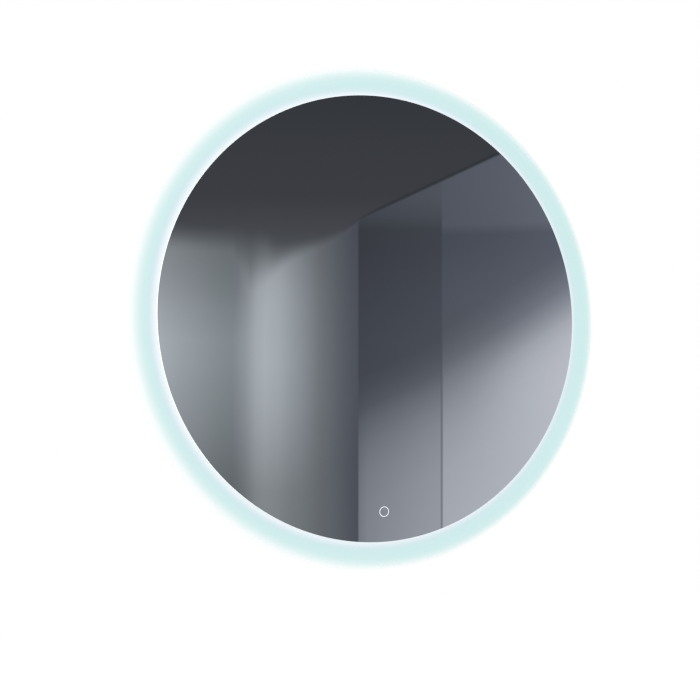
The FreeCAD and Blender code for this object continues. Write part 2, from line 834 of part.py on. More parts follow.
def make_hanger_rail():
    """The rail on the pan: a plate, a web that rests on the wall rail's lip, and a hook behind it."""
    body = new_body("hanger_rail")
    plate_top = f"({hook_rest} + hanger_height)"
    plate_back = f"({floor_back} + rail_sheet)"
    foot = "(rail_step + hook_foot_gap)"
    bevel = "rail_bevel"
    rail_profile(body, [
        (f"{hook_back} - {bevel}", foot),
        (hook_back, f"{foot} + {bevel}"),
        (hook_back, f"{hook_rest} + rail_sheet"),
        (plate_back, f"{hook_rest} + rail_sheet"),
        (plate_back, plate_top),
        (floor_back, plate_top),
        (floor_back, hook_rest),
        (hook_front, hook_rest),
        (hook_front, f"{foot} + {bevel}"),
        (f"{hook_front} + {bevel}", foot),
    ], "hanger_length")
    clear = "large_screw + hole_clearance"
    hole = peg_holes(body, [(hanger_screw_first, hanger_middle)], clear, floor_back, plate_back)
    along(body, [hole], "X_Axis", hanger_screw_span, "hanger_screw_count")


def make_hanger_fixings():
    """A bar inside the pan, tapped for the screws that clamp the hanger rail."""
    bar = mirror_body("backing_bar")
    back = floor_front
    front = f"({floor_front} - backing_thickness)"
    low = f"({hanger_z} - backing_height / 2)"
    high = f"({hanger_z} + backing_height / 2)"
    slab(bar, "-hanger_length / 2", "hanger_length / 2", low, high, back, front)
    first = [(hanger_screw_first, hanger_z)]
    hole = peg_holes(bar, first, "large_screw", front, back)
    along(bar, [hole], "X_Axis", hanger_screw_span, "hanger_screw_count")
    screws = mirror_body("hanger_screws")
    seat = f"({floor_back} + rail_sheet)"
    screw = back_screws(screws, first, seat, f"({front} - screw_end)", "large")
    along(screws, screw, "X_Axis", hanger_screw_span, "hanger_screw_count")


def make_bumpers():
    """Two rubber buttons that keep the pan's lower part off the wall, between the pressed ribs."""
    body = mirror_body("wall_bumpers")
    for degrees in ("(180 + 2.5 * 180 / (rib_count - 1))", "(360 - 2.5 * 180 / (rib_count - 1))"):
        x, z = polar_place(f"({pan_outer} - bumper_inset)", degrees)
        turned(body, [
            ("0", floor_back),
            ("bumper_radius", floor_back),
            ("bumper_radius", "-bumper_round"),
            ("bumper_radius - bumper_round", "0"),
            ("0", "0"),
        ], across=x, up=z)


# ---- service cover ----

grommet_x = "(cover_x - grommet_offset)"
cover_back = f"({floor_back} + cover_sheet)"


def make_cover():
    """Plate over the pan's window, with holes for its screws, the grommet and the terminal block."""
    body = mirror_body("service_cover")
    slab(body, cover_left, cover_right, cover_low, cover_high, cover_back, floor_back, "cover_corner")
    peg_holes(body, cover_screws, "small_screw + hole_clearance", floor_back, cover_back)
    bore(body, grommet_x, "cover_z", "grommet_neck", floor_back, cover_back)
    peg_holes(body, block_fixings, "small_screw", floor_back, cover_back)
    screws = mirror_body("cover_screws")
    back_screws(screws, cover_screws, cover_back, f"({floor_front} - cover_screw_reach)", "small")


def make_grommet():
    """Rubber bush for the mains cable: a lip outside the cover, and a sleeve inside."""
    body = mirror_body("cable_grommet")
    inside = f"({floor_back} - grommet_sleeve)"
    outside = f"({cover_back} + grommet_lip)"
    turned(body, [
        ("grommet_bore", inside),
        ("grommet_neck", inside),
        ("grommet_neck", cover_back),
        ("grommet_flange", cover_back),
        ("grommet_flange", outside),
        ("grommet_bore", outside),
    ], across=grommet_x, up="cover_z")


block_x = "(cover_x + block_offset)"
block_left = f"({block_x} - block_width / 2)"
block_right = f"({block_x} + block_width / 2)"
block_front = f"({floor_back} - block_depth)"
block_low = "(cover_z - block_height / 2)"
block_fixings = ((block_x, "(cover_z - pole_pitch / 2)"), (block_x, "(cover_z + pole_pitch / 2)"))
pole_wire_depth = f"({floor_back} - block_depth / 2)"
pole_height = "(cover_z - pole_pitch)"
pole_screws = (
    (f"({block_x} - pole_screw_offset)", pole_height),
    (f"({block_x} + pole_screw_offset)", pole_height),
)


def make_terminal_block():
    """Three-pole block: a stepped body with wire holes through it and a well over each screw."""
    body = mirror_body("terminal_block")
    shoulder = f"({block_front} + block_shoulder)"
    sketch = new_sketch(body, "XY_Plane", ("0", "0", block_low))
    add_outline(sketch, [
        (block_left, floor_back),
        (block_right, floor_back),
        (block_right, shoulder),
        (f"{block_right} - block_step", shoulder),
        (f"{block_right} - block_step", block_front),
        (f"{block_left} + block_step", block_front),
        (f"{block_left} + block_step", shoulder),
        (block_left, shoulder),
    ])
    feature(body, "Pad", sketch, "block_height")
    wire = new_sketch(body, "YZ_Plane", ("0", "0", block_right))
    add_polygon(wire, pole_wire_depth, pole_height, "2 * (wire_radius + lead_clearance)")
    passage = feature(body, "Pocket", wire, "block_width")
    wells = peg_holes(body, pole_screws, "pole_screw_radius", block_front, pole_wire_depth)
    along(body, [passage, wells], "Z_Axis", "2 * pole_pitch", "3")
    peg_holes(body, block_fixings, "small_screw", block_front, floor_back)
    screws = mirror_body("terminal_screws")
    end = f"({pole_wire_depth} - wire_radius)"
    heads = pegs(screws, pole_screws, "pole_screw_radius", end, f"({end} - pole_screw_length)")
    along(screws, [heads], "Z_Axis", "2 * pole_pitch", "3")
    fixings = mirror_body("block_screws")
    pegs(fixings, block_fixings, "small_screw", cover_back, block_front)
    pegs(fixings, block_fixings, "small_head", block_front, f"({block_front} - small_head_height)")


# ---- driver ----

driver_left = "(driver_x - driver_length / 2)"
driver_right = "(driver_x + driver_length / 2)"
driver_low = "(driver_z - driver_height / 2)"
driver_high = "(driver_z + driver_height / 2)"
driver_front = f"({floor_front} - driver_depth)"
lid_back = f"({driver_front} + driver_wall)"
lead_depth = f"(({floor_front} + {driver_front}) / 2)"
board_back = f"({floor_front} - driver_wall - board_stand)"
board_front = f"({board_back} - board_thickness)"
input_zs = ("(driver_z + driver_lead_spread)", "(driver_z - driver_lead_spread)")


def lead_hole(body, face_x, z, radius):
    """A hole through a driver's end wall, whose outer face is at face_x on the right of the wall."""
    sketch = new_sketch(body, "YZ_Plane", ("0", "0", face_x))
    add_polygon(sketch, lead_depth, z, f"2 * ({radius} + lead_clearance)")
    feature(body, "Pocket", sketch, "driver_wall")


def make_driver_case():
    """Tray with mounting ears and board posts, and a lid whose lip fits inside it."""
    tray = mirror_body("driver_tray")
    box = (driver_left, driver_right, driver_low, driver_high)
    wall = "driver_wall"
    slab(tray, *box, floor_front, lid_back, "driver_corner")
    ear = f"({floor_front} - 1.5 * {wall})"
    slab(
        tray, f"{driver_left} - driver_ear", f"{driver_right} + driver_ear",
        "driver_z - driver_ear / 2", "driver_z + driver_ear / 2", floor_front, ear,
    )
    hollow = [f"{side} {sign} {wall}" for side, sign in zip(box, "+-+-")]
    opening(tray, *hollow, lid_back, f"({floor_front} - {wall})")
    peg_holes(tray, driver_studs, "stud_radius + hole_clearance", ear, floor_front)
    for z in input_zs:
        lead_hole(tray, f"({driver_left} + {wall})", z, "wire_radius")
        lead_hole(tray, driver_right, z, "lead_radius")
    inset = "2 * driver_corner"
    posts = []
    for x in (f"({driver_left} + {inset})", f"({driver_right} - {inset})"):
        for z in (f"({driver_low} + {inset})", f"({driver_high} - {inset})"):
            posts.append((x, z))
    pegs(tray, posts, "board_post", f"({floor_front} - {wall})", board_back)
    lid = mirror_body("driver_lid")
    slab(lid, *box, lid_back, driver_front, "driver_corner")
    gap = f"({wall} + lead_clearance)"
    lip = [f"{side} {sign} {gap}" for side, sign in zip(box, "+-+-")]
    slab(lid, *lip, f"({lid_back} + {wall})", lid_back)
    clear = f"({gap} + {wall})"
    inside = [f"{side} {sign} {clear}" for side, sign in zip(box, "+-+-")]
    opening(lid, *inside, lid_back, f"({lid_back} + {wall})")
    nuts = mirror_body("driver_nuts")
    for x, z in driver_studs:
        add_nut(nuts, x, z, "stud_nut_width", "stud_radius", ear, f"({ear} - stud_nut_height)")


def make_driver_board():
    """Circuit board on the tray's posts, with its transformer and a row of capacitors."""
    gap = "(driver_wall + board_clearance)"
    board = mirror_body("driver_board")
    box = (driver_left, driver_right, driver_low, driver_high)
    inside = [f"{side} {sign} {gap}" for side, sign in zip(box, "+-+-")]
    slab(board, *inside, board_back, board_front)
    transformer = mirror_body("transformer")
    half = "transformer_length / 2"
    tall = "transformer_height / 2"
    front = f"({board_front} - transformer_depth)"
    slab(
        transformer, f"driver_x - {half}", f"driver_x + {half}", f"driver_z - {tall}", f"driver_z + {tall}",
        board_front, front,
    )
    wound = "transformer_winding / 2"
    for left, right in (
        (f"driver_x - {half}", f"driver_x - {wound}"),
        (f"driver_x + {wound}", f"driver_x + {half}"),
    ):
        low = f"driver_z - {tall} + transformer_yoke"
        high = f"driver_z + {tall} - transformer_yoke"
        opening(transformer, left, right, low, high, front, board_front)
    capacitors = mirror_body("capacitors")
    row = "((capacitor_count - 1) * capacitor_pitch)"
    first = f"({driver_right} - {gap} - 2 * capacitor_radius - {row})"
    can = face_sketch(capacitors, board_front)
    add_polygon(can, first, "driver_z", "2 * capacitor_radius", sides=12)
    can = pad_forward(capacitors, can, board_front, f"({board_front} - capacitor_length)")
    along(capacitors, [can], "X_Axis", row, "capacitor_count")


# ---- touch switch ----

touch_back = f"({glass_back} + touch_depth)"
touch_floor = f"({touch_back} - touch_wall)"
touch_board_front = f"({touch_floor} - touch_board)"
touch_lead_depth = f"(({glass_back} + {touch_back}) / 2)"


def make_touch_switch():
    """Case stuck to the glass's back, its board, the icon's light guide and the sensing pad."""
    case = mirror_body("touch_case")
    box = (touch_left, touch_right, touch_low, touch_high)
    slab(case, *box, touch_back, glass_back)
    wall = "touch_wall"
    hollow = [f"{side} {sign} {wall}" for side, sign in zip(box, "+-+-")]
    opening(case, *hollow, glass_back, touch_floor)
    entry = new_sketch(case, "XY_Plane", ("0", "0", touch_high))
    add_polygon(entry, "0", touch_lead_depth, "2 * (lead_radius + lead_clearance)")
    feature(case, "Pocket", entry, wall)
    board = mirror_body("touch_board")
    gap = f"({wall} + touch_clearance)"
    inside = [f"{side} {sign} {gap}" for side, sign in zip(box, "+-+-")]
    slab(board, *inside, touch_floor, touch_board_front)
    guide = mirror_body("icon_light_guide")
    turned(guide, [
        ("icon_inner", glass_back),
        ("icon_outer", glass_back),
        ("icon_outer", touch_board_front),
        ("icon_inner", touch_board_front),
    ], up=f"-{icon_drop}")
    pad = mirror_body("touch_sensor")
    turned(pad, [
        ("0", glass_back),
        ("sensor_radius", glass_back),
        ("sensor_radius", touch_board_front),
        ("0", touch_board_front),
    ], up=f"-{icon_drop}")


# ---- leads ----

clip_x = f"({driver_right} + driver_ear + clip_offset)"
clip_high = f"({driver_low} - clip_drop)"
clip_low = f"({clip_high} - clip_run)"
earth_level = f"({floor_front} - earth_barrel)"
barrel_top = "(earth_z + earth_ring + earth_barrel_length)"


def lead_path(points):
    """Straight runs joined by tangent arcs, each as large as its two runs allow."""
    edges = []
    start = points[0]
    for before, corner, after in zip(points, points[1:], points[2:]):
        back = (before - corner).normalize()
        ahead = (after - corner).normalize()
        half_turn = (math.pi - back.getAngle(ahead)) / 2
        reach = 0.45 * min((before - corner).Length, (after - corner).Length)
        radius = reach / math.tan(half_turn)
        middle = corner + (back + ahead).normalize() * (radius / math.cos(half_turn) - radius)
        first = corner + back * reach
        last = corner + ahead * reach
        edges.append(Part.LineSegment(start, first).toShape())
        edges.append(Part.Arc(first, middle, last).toShape())
        start = last
        print(f"    turn {math.degrees(2 * half_turn):.0f} degrees, radius {radius:.1f}")
    edges.append(Part.LineSegment(start, points[-1]).toShape())
    return Part.Wire(edges)


def ring_points(centre, along_lead, radius):
    """Corners of a six-sided ring square to a direction, the first one again at its end."""
    aside = along_lead.cross(Vector(0, 1, 0)).normalize()
    third = aside.cross(along_lead).normalize()
    corners = []
    for step in range(7):
        angle = math.radians(60 * step)
        corners.append(centre + (aside * math.cos(angle) + third * math.sin(angle)) * radius)
    return corners


def make_lead(label, radius_name, formulas):
    """A six-sided lead along points given as (x, depth, z) formulas from the glass's middle."""
    print(f"  {label}")
    points = [Vector(*(value(f) for f in place)) for place in formulas]
    path = lead_path(points)
    radius = value(radius_name)
    end = Part.makePolygon(ring_points(points[0], points[1] - points[0], radius))
    lead = doc.addObject("Part::Feature", label)
    lead.Label = label
    lead.Shape = path.makePipeShell([end], True, True)
    ideal = 1.5 * math.sqrt(3) * radius ** 2 * path.Length
    print(f"    volume {lead.Shape.Volume:.1f}, section times length {ideal:.1f}")
    lead.setExpression("Placement.Base.z", bound(f"-{glass_drop}"))


def make_leads():
    """Wires from the terminal block, and leads from the driver to the ribbon and the switch."""
    block_exit = f"({block_right} - block_step / 2)"
    for label, pole_z, input_z in (
        ("live_lead", "(cover_z + pole_pitch)", input_zs[0]),
        ("neutral_lead", "cover_z", input_zs[1]),
    ):
        make_lead(label, "wire_radius", [
            (block_exit, pole_wire_depth, pole_z),
            (f"{block_exit} + 22", pole_wire_depth, pole_z),
            (f"{block_exit} + 46", f"{pole_wire_depth} - 2", f"{pole_z} + 3"),
            (f"{driver_left} - 22", lead_depth, input_z),
            (f"{driver_left} + driver_wall", lead_depth, input_z),
        ])
    earth_pole = "cover_z - pole_pitch"
    make_lead("earth_lead", "wire_radius", [
        (block_exit, pole_wire_depth, earth_pole),
        (f"{block_exit} + 20", pole_wire_depth, earth_pole),
        ("earth_x - 9", f"({pole_wire_depth} + {earth_level}) / 2", f"({earth_pole} + earth_z) / 2 + 12"),
        ("earth_x", earth_level, f"{barrel_top} + 15"),
        ("earth_x", earth_level, f"{barrel_top} - earth_socket"),
    ])
    light_exit = f"({driver_right} - driver_wall)"
    make_lead("light_lead", "lead_radius", [
        (light_exit, lead_depth, input_zs[0]),
        (f"{light_exit} + 26", lead_depth, input_zs[0]),
        (f"{light_exit} + 62", f"{lead_depth} - 1", f"{input_zs[0]} - 8"),
        (f"{hoop_inner} - 62", f"{lead_depth} - 4", "24"),
        (f"{hoop_inner} - 26", f"{strip_middle} + 3", "6"),
        (f"{hoop_inner} - 4", strip_middle, "0"),
        (hoop_outer, strip_middle, "0"),
    ])
    make_lead("switch_lead", "lead_radius", [
        (light_exit, lead_depth, input_zs[1]),
        (f"{light_exit} + 20", lead_depth, input_zs[1]),
        (clip_x, f"({lead_depth} + {lead_level}) / 2", f"{driver_low} - 6"),
        (clip_x, lead_level, clip_high),
        (clip_x, lead_level, clip_low),
        (f"{clip_x} - 24", lead_level, f"{clip_low} - 42"),
        (f"0.56 * {rib_start}", lead_level, f"-0.72 * {rib_start}"),
        (f"0.33 * {rib_start}", lead_level, f"-0.88 * {rib_start}"),
        (f"0.195 * {rib_end}", lead_level, f"-0.79 * {rib_end}"),
        (f"0.17 * {rib_end}", f"{lead_level} - 2", f"-0.92 * {rib_end}"),
        ("26", f"{lead_level} - 9", f"-{pan_outer} + 38"),
        ("0", touch_lead_depth, f"{touch_high} + 14"),
        ("0", touch_lead_depth, f"{touch_high} - touch_wall"),
    ])


def make_earth_terminal():
    """Ring terminal on the earth stud, its barrel upwards, and the nut over it."""
    body = mirror_body("earth_terminal")
    front = f"({floor_front} - earth_ring_sheet)"
    stud = [("earth_x", "earth_z")]
    pegs(body, stud, "earth_ring", floor_front, front)
    left, right = "earth_x - earth_barrel", "earth_x + earth_barrel"
    slab(body, left, right, "earth_z", f"{barrel_top} - earth_lap", floor_front, front)
    barrel = new_sketch(body, "XY_Plane", ("0", "0", "earth_z + earth_ring"))
    add_polygon(barrel, "earth_x", earth_level, "2 * earth_barrel")
    feature(body, "Pad", barrel, "earth_barrel_length")
    peg_holes(body, stud, "stud_radius + hole_clearance", front, floor_front)
    socket = new_sketch(body, "XY_Plane", ("0", "0", barrel_top))
    add_polygon(socket, "earth_x", earth_level, "2 * wire_radius")
    feature(body, "Pocket", socket, "earth_socket")
    nut = mirror_body("earth_nut")
    top = f"({front} - stud_nut_height)"
    add_nut(nut, "earth_x", "earth_z", "stud_nut_width", "stud_radius", front, top)


def make_cable_clip():
    """An adhesive saddle that holds the switch's lead to the pan's floor."""
    body = mirror_body("cable_clip")
    bore_radius = "(lead_radius + lead_clearance)"
    outer = f"({bore_radius} + clip_wall)"
    low = f"(({clip_high} + {clip_low} - clip_length) / 2)"
    sketch = new_sketch(body, "XY_Plane", ("0", "0", low))
    add_outline(sketch, [
        (f"{clip_x} - 2 * {outer}", floor_front),
        (f"{clip_x} - 2 * {outer}", f"{floor_front} - clip_wall"),
        (f"{clip_x} - {outer}", f"{floor_front} - clip_wall"),
        (f"{clip_x} - {outer}", f"{lead_level} - {outer} / 2"),
        (f"{clip_x} - {outer} / 2", f"{lead_level} - {outer}"),
        (f"{clip_x} + {outer} / 2", f"{lead_level} - {outer}"),
        (f"{clip_x} + {outer}", f"{lead_level} - {outer} / 2"),
        (f"{clip_x} + {outer}", f"{floor_front} - clip_wall"),
        (f"{clip_x} + 2 * {outer}", f"{floor_front} - clip_wall"),
        (f"{clip_x} + 2 * {outer}", floor_front),
    ])
    feature(body, "Pad", sketch, "clip_length")
    hole = new_sketch(body, "XY_Plane", ("0", "0", f"{low} + clip_length"))
    add_polygon(hole, clip_x, lead_level, f"2 * {bore_radius}")
    feature(body, "Pocket", hole, "clip_length")


make_glass()
make_film()
make_tape_and_gasket()
make_light_ring()
make_reflector()
make_hoop()
make_joiner()
make_strip()
make_diodes()
make_pan()
make_ring_fasteners()
make_hoop_screws()
make_wall_rail()
make_hanger_rail()
make_hanger_fixings()
make_bumpers()
make_cover()
make_grommet()
make_terminal_block()
make_driver_case()
make_driver_board()
make_touch_switch()
make_earth_terminal()
make_cable_clip()
make_leads()
doc.recompute()

failed = [o.Name for o in doc.Objects if "Invalid" in o.State or "Error" in o.State]
if failed:
    raise RuntimeError(f"objects that failed: {failed}")

os.makedirs("parts", exist_ok=True)
for piece in doc.Objects:
    if piece.TypeId not in ("PartDesign::Body", "Part::Feature"):
        continue
    if piece.Shape.isNull() or not piece.Shape.isValid() or not piece.Shape.Solids:
        raise RuntimeError(f"{piece.Label} has no valid solid")
    piece.Shape.exportStep(f"parts/{piece.Label}.step")
    print(f"{piece.Label}: {len(piece.Shape.Solids)} solids, {piece.Shape.Volume / 1000:.2f} cm3")
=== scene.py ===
import math

import bmesh
import bpy
import numpy as np
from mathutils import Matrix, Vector


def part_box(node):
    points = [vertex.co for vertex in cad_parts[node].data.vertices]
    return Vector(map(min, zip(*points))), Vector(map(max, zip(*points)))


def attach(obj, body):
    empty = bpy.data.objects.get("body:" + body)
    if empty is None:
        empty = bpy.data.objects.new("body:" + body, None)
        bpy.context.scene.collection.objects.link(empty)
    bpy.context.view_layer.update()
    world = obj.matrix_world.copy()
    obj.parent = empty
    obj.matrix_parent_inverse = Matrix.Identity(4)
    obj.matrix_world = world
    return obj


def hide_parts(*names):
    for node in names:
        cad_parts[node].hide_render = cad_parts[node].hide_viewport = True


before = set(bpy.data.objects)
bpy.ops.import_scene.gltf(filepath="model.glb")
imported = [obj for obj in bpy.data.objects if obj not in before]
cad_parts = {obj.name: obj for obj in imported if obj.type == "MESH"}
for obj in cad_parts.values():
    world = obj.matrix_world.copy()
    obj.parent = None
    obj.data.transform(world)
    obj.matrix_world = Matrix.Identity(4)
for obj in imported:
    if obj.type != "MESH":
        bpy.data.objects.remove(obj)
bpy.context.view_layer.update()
unit = "mirror_unit"
wall = "wall_rail"
sharpAngle = 32.0  # edges that turn by more than this, in degrees, stay sharp


def corners(node):
    # lowest and highest corner of a CAD node, as arrays in metres
    low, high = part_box(node)
    return np.array(low), np.array(high)


glassLow, glassHigh = corners("mirror_glass")
glassRadius = (glassHigh[0] - glassLow[0]) / 2
centreZ = glassHigh[2] - glassRadius
guideLow, guideHigh = corners("icon_light_guide")
iconRadius = (guideHigh[0] - guideLow[0]) / 2
iconZ = (guideHigh[2] + guideLow[2]) / 2


def linear(red, green, blue):
    # display value to scene-linear light, channel by channel
    channels = [value / 255 for value in (red, green, blue)]
    return tuple(v / 12.92 if v <= 0.04045 else ((v + 0.055) / 1.055) ** 2.4 for v in channels) + (1.0,)


def addNode(tree, kind, inputs=None, **settings):
    # a node with its settings: an input given as a socket is linked, anything else is set as its value
    node = tree.nodes.new(kind)
    for name, value in settings.items():
        setattr(node, name, value)
    for key, value in (inputs or {}).items():
        if isinstance(value, bpy.types.NodeSocket):
            tree.links.new(value, node.inputs[key])
        else:
            node.inputs[key].default_value = value
    return node


def calc(tree, operation, first, second=0.0, third=0.0):
    node = addNode(tree, "ShaderNodeMath", {0: first, 1: second, 2: third}, operation=operation)
    return node.outputs[0]


def ease(tree, value, low, high):
    # smooth 0 to 1 as the value goes from low to high
    inputs = {"Value": value, "From Min": low, "From Max": high}
    node = addNode(tree, "ShaderNodeMapRange", inputs, interpolation_type="SMOOTHSTEP")
    return node.outputs["Result"]


def blendColours(tree, amount, first, second):
    return addNode(tree, "ShaderNodeMix", {0: amount, 6: first, 7: second}, data_type="RGBA").outputs[2]


def product(tree, first, second):
    # two colours multiplied channel by channel
    return addNode(tree, "ShaderNodeVectorMath", {0: first, 1: second}, operation="MULTIPLY").outputs[0]


def noiseAt(tree, place, scale, detail=2.0):
    inputs = {"Vector": place, "Scale": scale, "Detail": detail}
    return addNode(tree, "ShaderNodeTexNoise", inputs).outputs[0]


def levels(pairs):
    # (value, level) pairs as the stops of a ramp
    return [(at, (level, level, level, 1.0)) for at, level in pairs]


def toneRamp(tree, value, stops):
    # stops are (value, colour) pairs, brought to the ramp's 0 to 1
    low, high = stops[0][0], stops[-1][0]
    inputs = {"Value": value, "From Min": low, "From Max": high}
    place = addNode(tree, "ShaderNodeMapRange", inputs).outputs["Result"]
    node = addNode(tree, "ShaderNodeValToRGB", {"Fac": place})
    marks = node.color_ramp.elements
    while len(marks) < len(stops):
        marks.new(0.5)
    for mark, (at, colour) in zip(marks, stops):
        mark.position = (at - low) / (high - low)
        mark.color = colour
    return node.outputs["Color"]


def newGroup(name, inputs, outputs):
    # a shader node group with named number sockets: its tree, and the sockets of its two ends
    group = bpy.data.node_groups.new(name, "ShaderNodeTree")
    for label, value in inputs.items():
        socket = group.interface.new_socket(label, in_out="INPUT", socket_type="NodeSocketFloat")
        socket.default_value = value
    for label in outputs:
        group.interface.new_socket(label, in_out="OUTPUT", socket_type="NodeSocketFloat")
    return group, addNode(group, "NodeGroupInput").outputs, addNode(group, "NodeGroupOutput").inputs


def makeMottle():
    # a slow change of tone round 1, and a fine grain for the bump
    inputs = {"Scale": 40.0, "Grain Scale": 900.0, "Amount": 0.1}
    group, given, out = newGroup("mottle", inputs, ["Tone", "Grain"])
    place = addNode(group, "ShaderNodeTexCoord").outputs["Object"]
    drift = calc(group, "SUBTRACT", noiseAt(group, place, given["Scale"], 3.0), 0.5)
    group.links.new(calc(group, "MULTIPLY_ADD", drift, given["Amount"], 1.0), out["Tone"])
    group.links.new(noiseAt(group, place, given["Grain Scale"]), out["Grain"])
    return group


def makeDieLines():
    # fine lines along X, as a die leaves on an extrusion, with a few deeper ones
    group, given, out = newGroup("dieLines", {"Scale": 700.0}, ["Lines"])
    place = addNode(group, "ShaderNodeTexCoord").outputs["Object"]
    drawn = addNode(group, "ShaderNodeMapping", {"Vector": place, "Scale": (0.01, 1.0, 1.0)}).outputs[0]
    fine = calc(group, "MULTIPLY", noiseAt(group, drawn, given["Scale"], 3.0), 0.6)
    deep = noiseAt(group, drawn, calc(group, "MULTIPLY", given["Scale"], 0.22), 1.0)
    group.links.new(calc(group, "MULTIPLY_ADD", deep, 0.4, fine), out["Lines"])
    return group


def makeSettledDust():
    # dust lies where the surface faces up, thicker in some places than in others
    group, given, out = newGroup("settledDust", {"Amount": 0.3, "Scale": 60.0}, ["Dust"])
    facing = addNode(group, "ShaderNodeNewGeometry").outputs["Normal"]
    up = addNode(group, "ShaderNodeSeparateXYZ", {0: facing}).outputs["Z"]
    place = addNode(group, "ShaderNodeTexCoord").outputs["Object"]
    patches = ease(group, noiseAt(group, place, given["Scale"], 5.0), 0.3, 0.75)
    lying = calc(group, "MULTIPLY", ease(group, up, 0.2, 0.95), patches)
    group.links.new(calc(group, "MULTIPLY", lying, given["Amount"]), out["Dust"])
    return group


def makeRadiusFrom():
    # distance from a line along Y through a middle in X and Z, in metres
    group, given, out = newGroup("radiusFrom", {"Middle X": 0.0, "Middle Z": 0.0}, ["Radius"])
    place = addNode(group, "ShaderNodeTexCoord").outputs["Object"]
    axes = addNode(group, "ShaderNodeSeparateXYZ", {0: place}).outputs
    across = calc(group, "SUBTRACT", axes["X"], given["Middle X"])
    rise = calc(group, "SUBTRACT", axes["Z"], given["Middle Z"])
    squares = calc(group, "MULTIPLY_ADD", rise, rise, calc(group, "MULTIPLY", across, across))
    group.links.new(calc(group, "SQRT", squares), out["Radius"])
    return group


mottle = makeMottle()
dieLines = makeDieLines()
settledDust = makeSettledDust()
radiusFrom = makeRadiusFrom()
print("shared groups made")


def placeGroup(tree, group, inputs=None):
    # a shared group with its own values on its sockets
    node = addNode(tree, "ShaderNodeGroup", node_tree=group)
    for name, value in (inputs or {}).items():
        node.inputs[name].default_value = value
    return node.outputs


def newMaterial(name):
    material = bpy.data.materials.new(name)
    material.use_nodes = True
    return material, material.node_tree, material.node_tree.nodes["Principled BSDF"].inputs


def addBump(tree, shader, height, depth, strength):
    # a bump on the shader's normal, its depth in metres
    bump = addNode(tree, "ShaderNodeBump", {"Height": height, "Distance": depth, "Strength": strength})
    tree.links.new(bump.outputs[0], shader["Normal"])


def addDust(tree, shader, colour, rough, amount, dustTone):
    # dust lies over the colour and dulls the gloss; its mask is given back
    lying = placeGroup(tree, settledDust, {"Amount": amount})["Dust"]
    tree.links.new(blendColours(tree, lying, colour, linear(*dustTone)), shader["Base Color"])
    tree.links.new(calc(tree, "MAXIMUM", rough, lying), shader["Roughness"])
    return lying


def mouldedFinish(name, colour, roughness=0.45, grain=900.0, depth=0.00002, tone=0.12, patch=40.0,
                  metallic=0.0, dust=0.0, dustTone=(186, 182, 174)):
    # moulded, coated or plated stuff: its tone drifts, its grain is a bump and dust dulls its top
    material, tree, shader = newMaterial(name)
    spots = placeGroup(tree, mottle, {"Scale": patch, "Grain Scale": grain, "Amount": tone})
    tinted = product(tree, linear(*colour)[:3], spots["Tone"])
    addDust(tree, shader, tinted, calc(tree, "MULTIPLY", spots["Tone"], roughness), dust, dustTone)
    addBump(tree, shader, spots["Grain"], depth, 0.6)
    shader["Metallic"].default_value = metallic
    return material


# what the moulded, coated and plated pieces are made of
stuffs = {
    "zincPlate": dict(colour=(200, 201, 199), roughness=0.32, grain=300.0, tone=0.3, patch=220.0,
                      metallic=1.0),
    "brassPlate": dict(colour=(214, 178, 104), roughness=0.3, grain=300.0, tone=0.2, metallic=1.0),
    "blackRubber": dict(colour=(36, 36, 38), roughness=0.68, grain=1200.0, depth=0.00005, tone=0.35,
                        dust=0.2),
    "blackFoam": dict(colour=(30, 30, 31), roughness=0.95, grain=700.0, depth=0.0003),
    "backFilm": dict(colour=(214, 216, 218), roughness=0.38, grain=60.0, depth=0.00008, tone=0.06),
    "whiteFilm": dict(colour=(243, 243, 243), roughness=0.55),
    "whiteRibbon": dict(colour=(238, 238, 232), roughness=0.45),
    "diodeFace": dict(colour=(246, 226, 150), roughness=0.25),
    "whiteNylon": dict(colour=(232, 231, 225), roughness=0.42),
    "whiteCase": dict(colour=(228, 229, 229), roughness=0.48, grain=700.0, depth=0.00005),
    "blackCase": dict(colour=(38, 38, 40), roughness=0.5),
    "coilTape": dict(colour=(206, 172, 66), roughness=0.4),
    "blackCan": dict(colour=(42, 44, 54), roughness=0.3),
    "whiteGuide": dict(colour=(245, 247, 247), roughness=0.3),
    "brownWire": dict(colour=(104, 66, 40)),
    "blueWire": dict(colour=(48, 92, 168)),
    "whiteLead": dict(colour=(230, 230, 230), roughness=0.5),
}
finishes = {name: mouldedFinish(name, **stuff) for name, stuff in stuffs.items()}


panCoatLook = {
    "colour": (176, 179, 183),
    "specks": (152, 155, 160),
    "speckScale": 4200.0,
    "cloud": 0.05,
    "cloudScale": 9.0,  # slow changes of tone and gloss, per metre
    "peelScale": 620.0,  # waves of orange peel, per metre
    "peelDepth": 0.00008,
    "roughness": 0.4,
    "dust": 0.22,
    "dustTone": (196, 193, 187),
}


def panCoat():
    # baked powder: orange peel in the bump, fine specks, faint cloudy gloss, a little dust on top
    look = panCoatLook
    material, tree, shader = newMaterial("panCoat")
    inputs = {"Scale": look["cloudScale"], "Grain Scale": look["peelScale"], "Amount": look["cloud"]}
    spots = placeGroup(tree, mottle, inputs)
    tinted = product(tree, linear(*look["colour"])[:3], spots["Tone"])
    place = addNode(tree, "ShaderNodeTexCoord").outputs["Object"]
    specks = ease(tree, noiseAt(tree, place, look["speckScale"]), 0.62, 0.8)
    speckled = blendColours(tree, specks, tinted, linear(*look["specks"]))
    rough = calc(tree, "MULTIPLY", calc(tree, "POWER", spots["Tone"], 6.0), look["roughness"])
    addDust(tree, shader, speckled, rough, look["dust"], look["dustTone"])
    addBump(tree, shader, spots["Grain"], look["peelDepth"], 0.7)
    return material


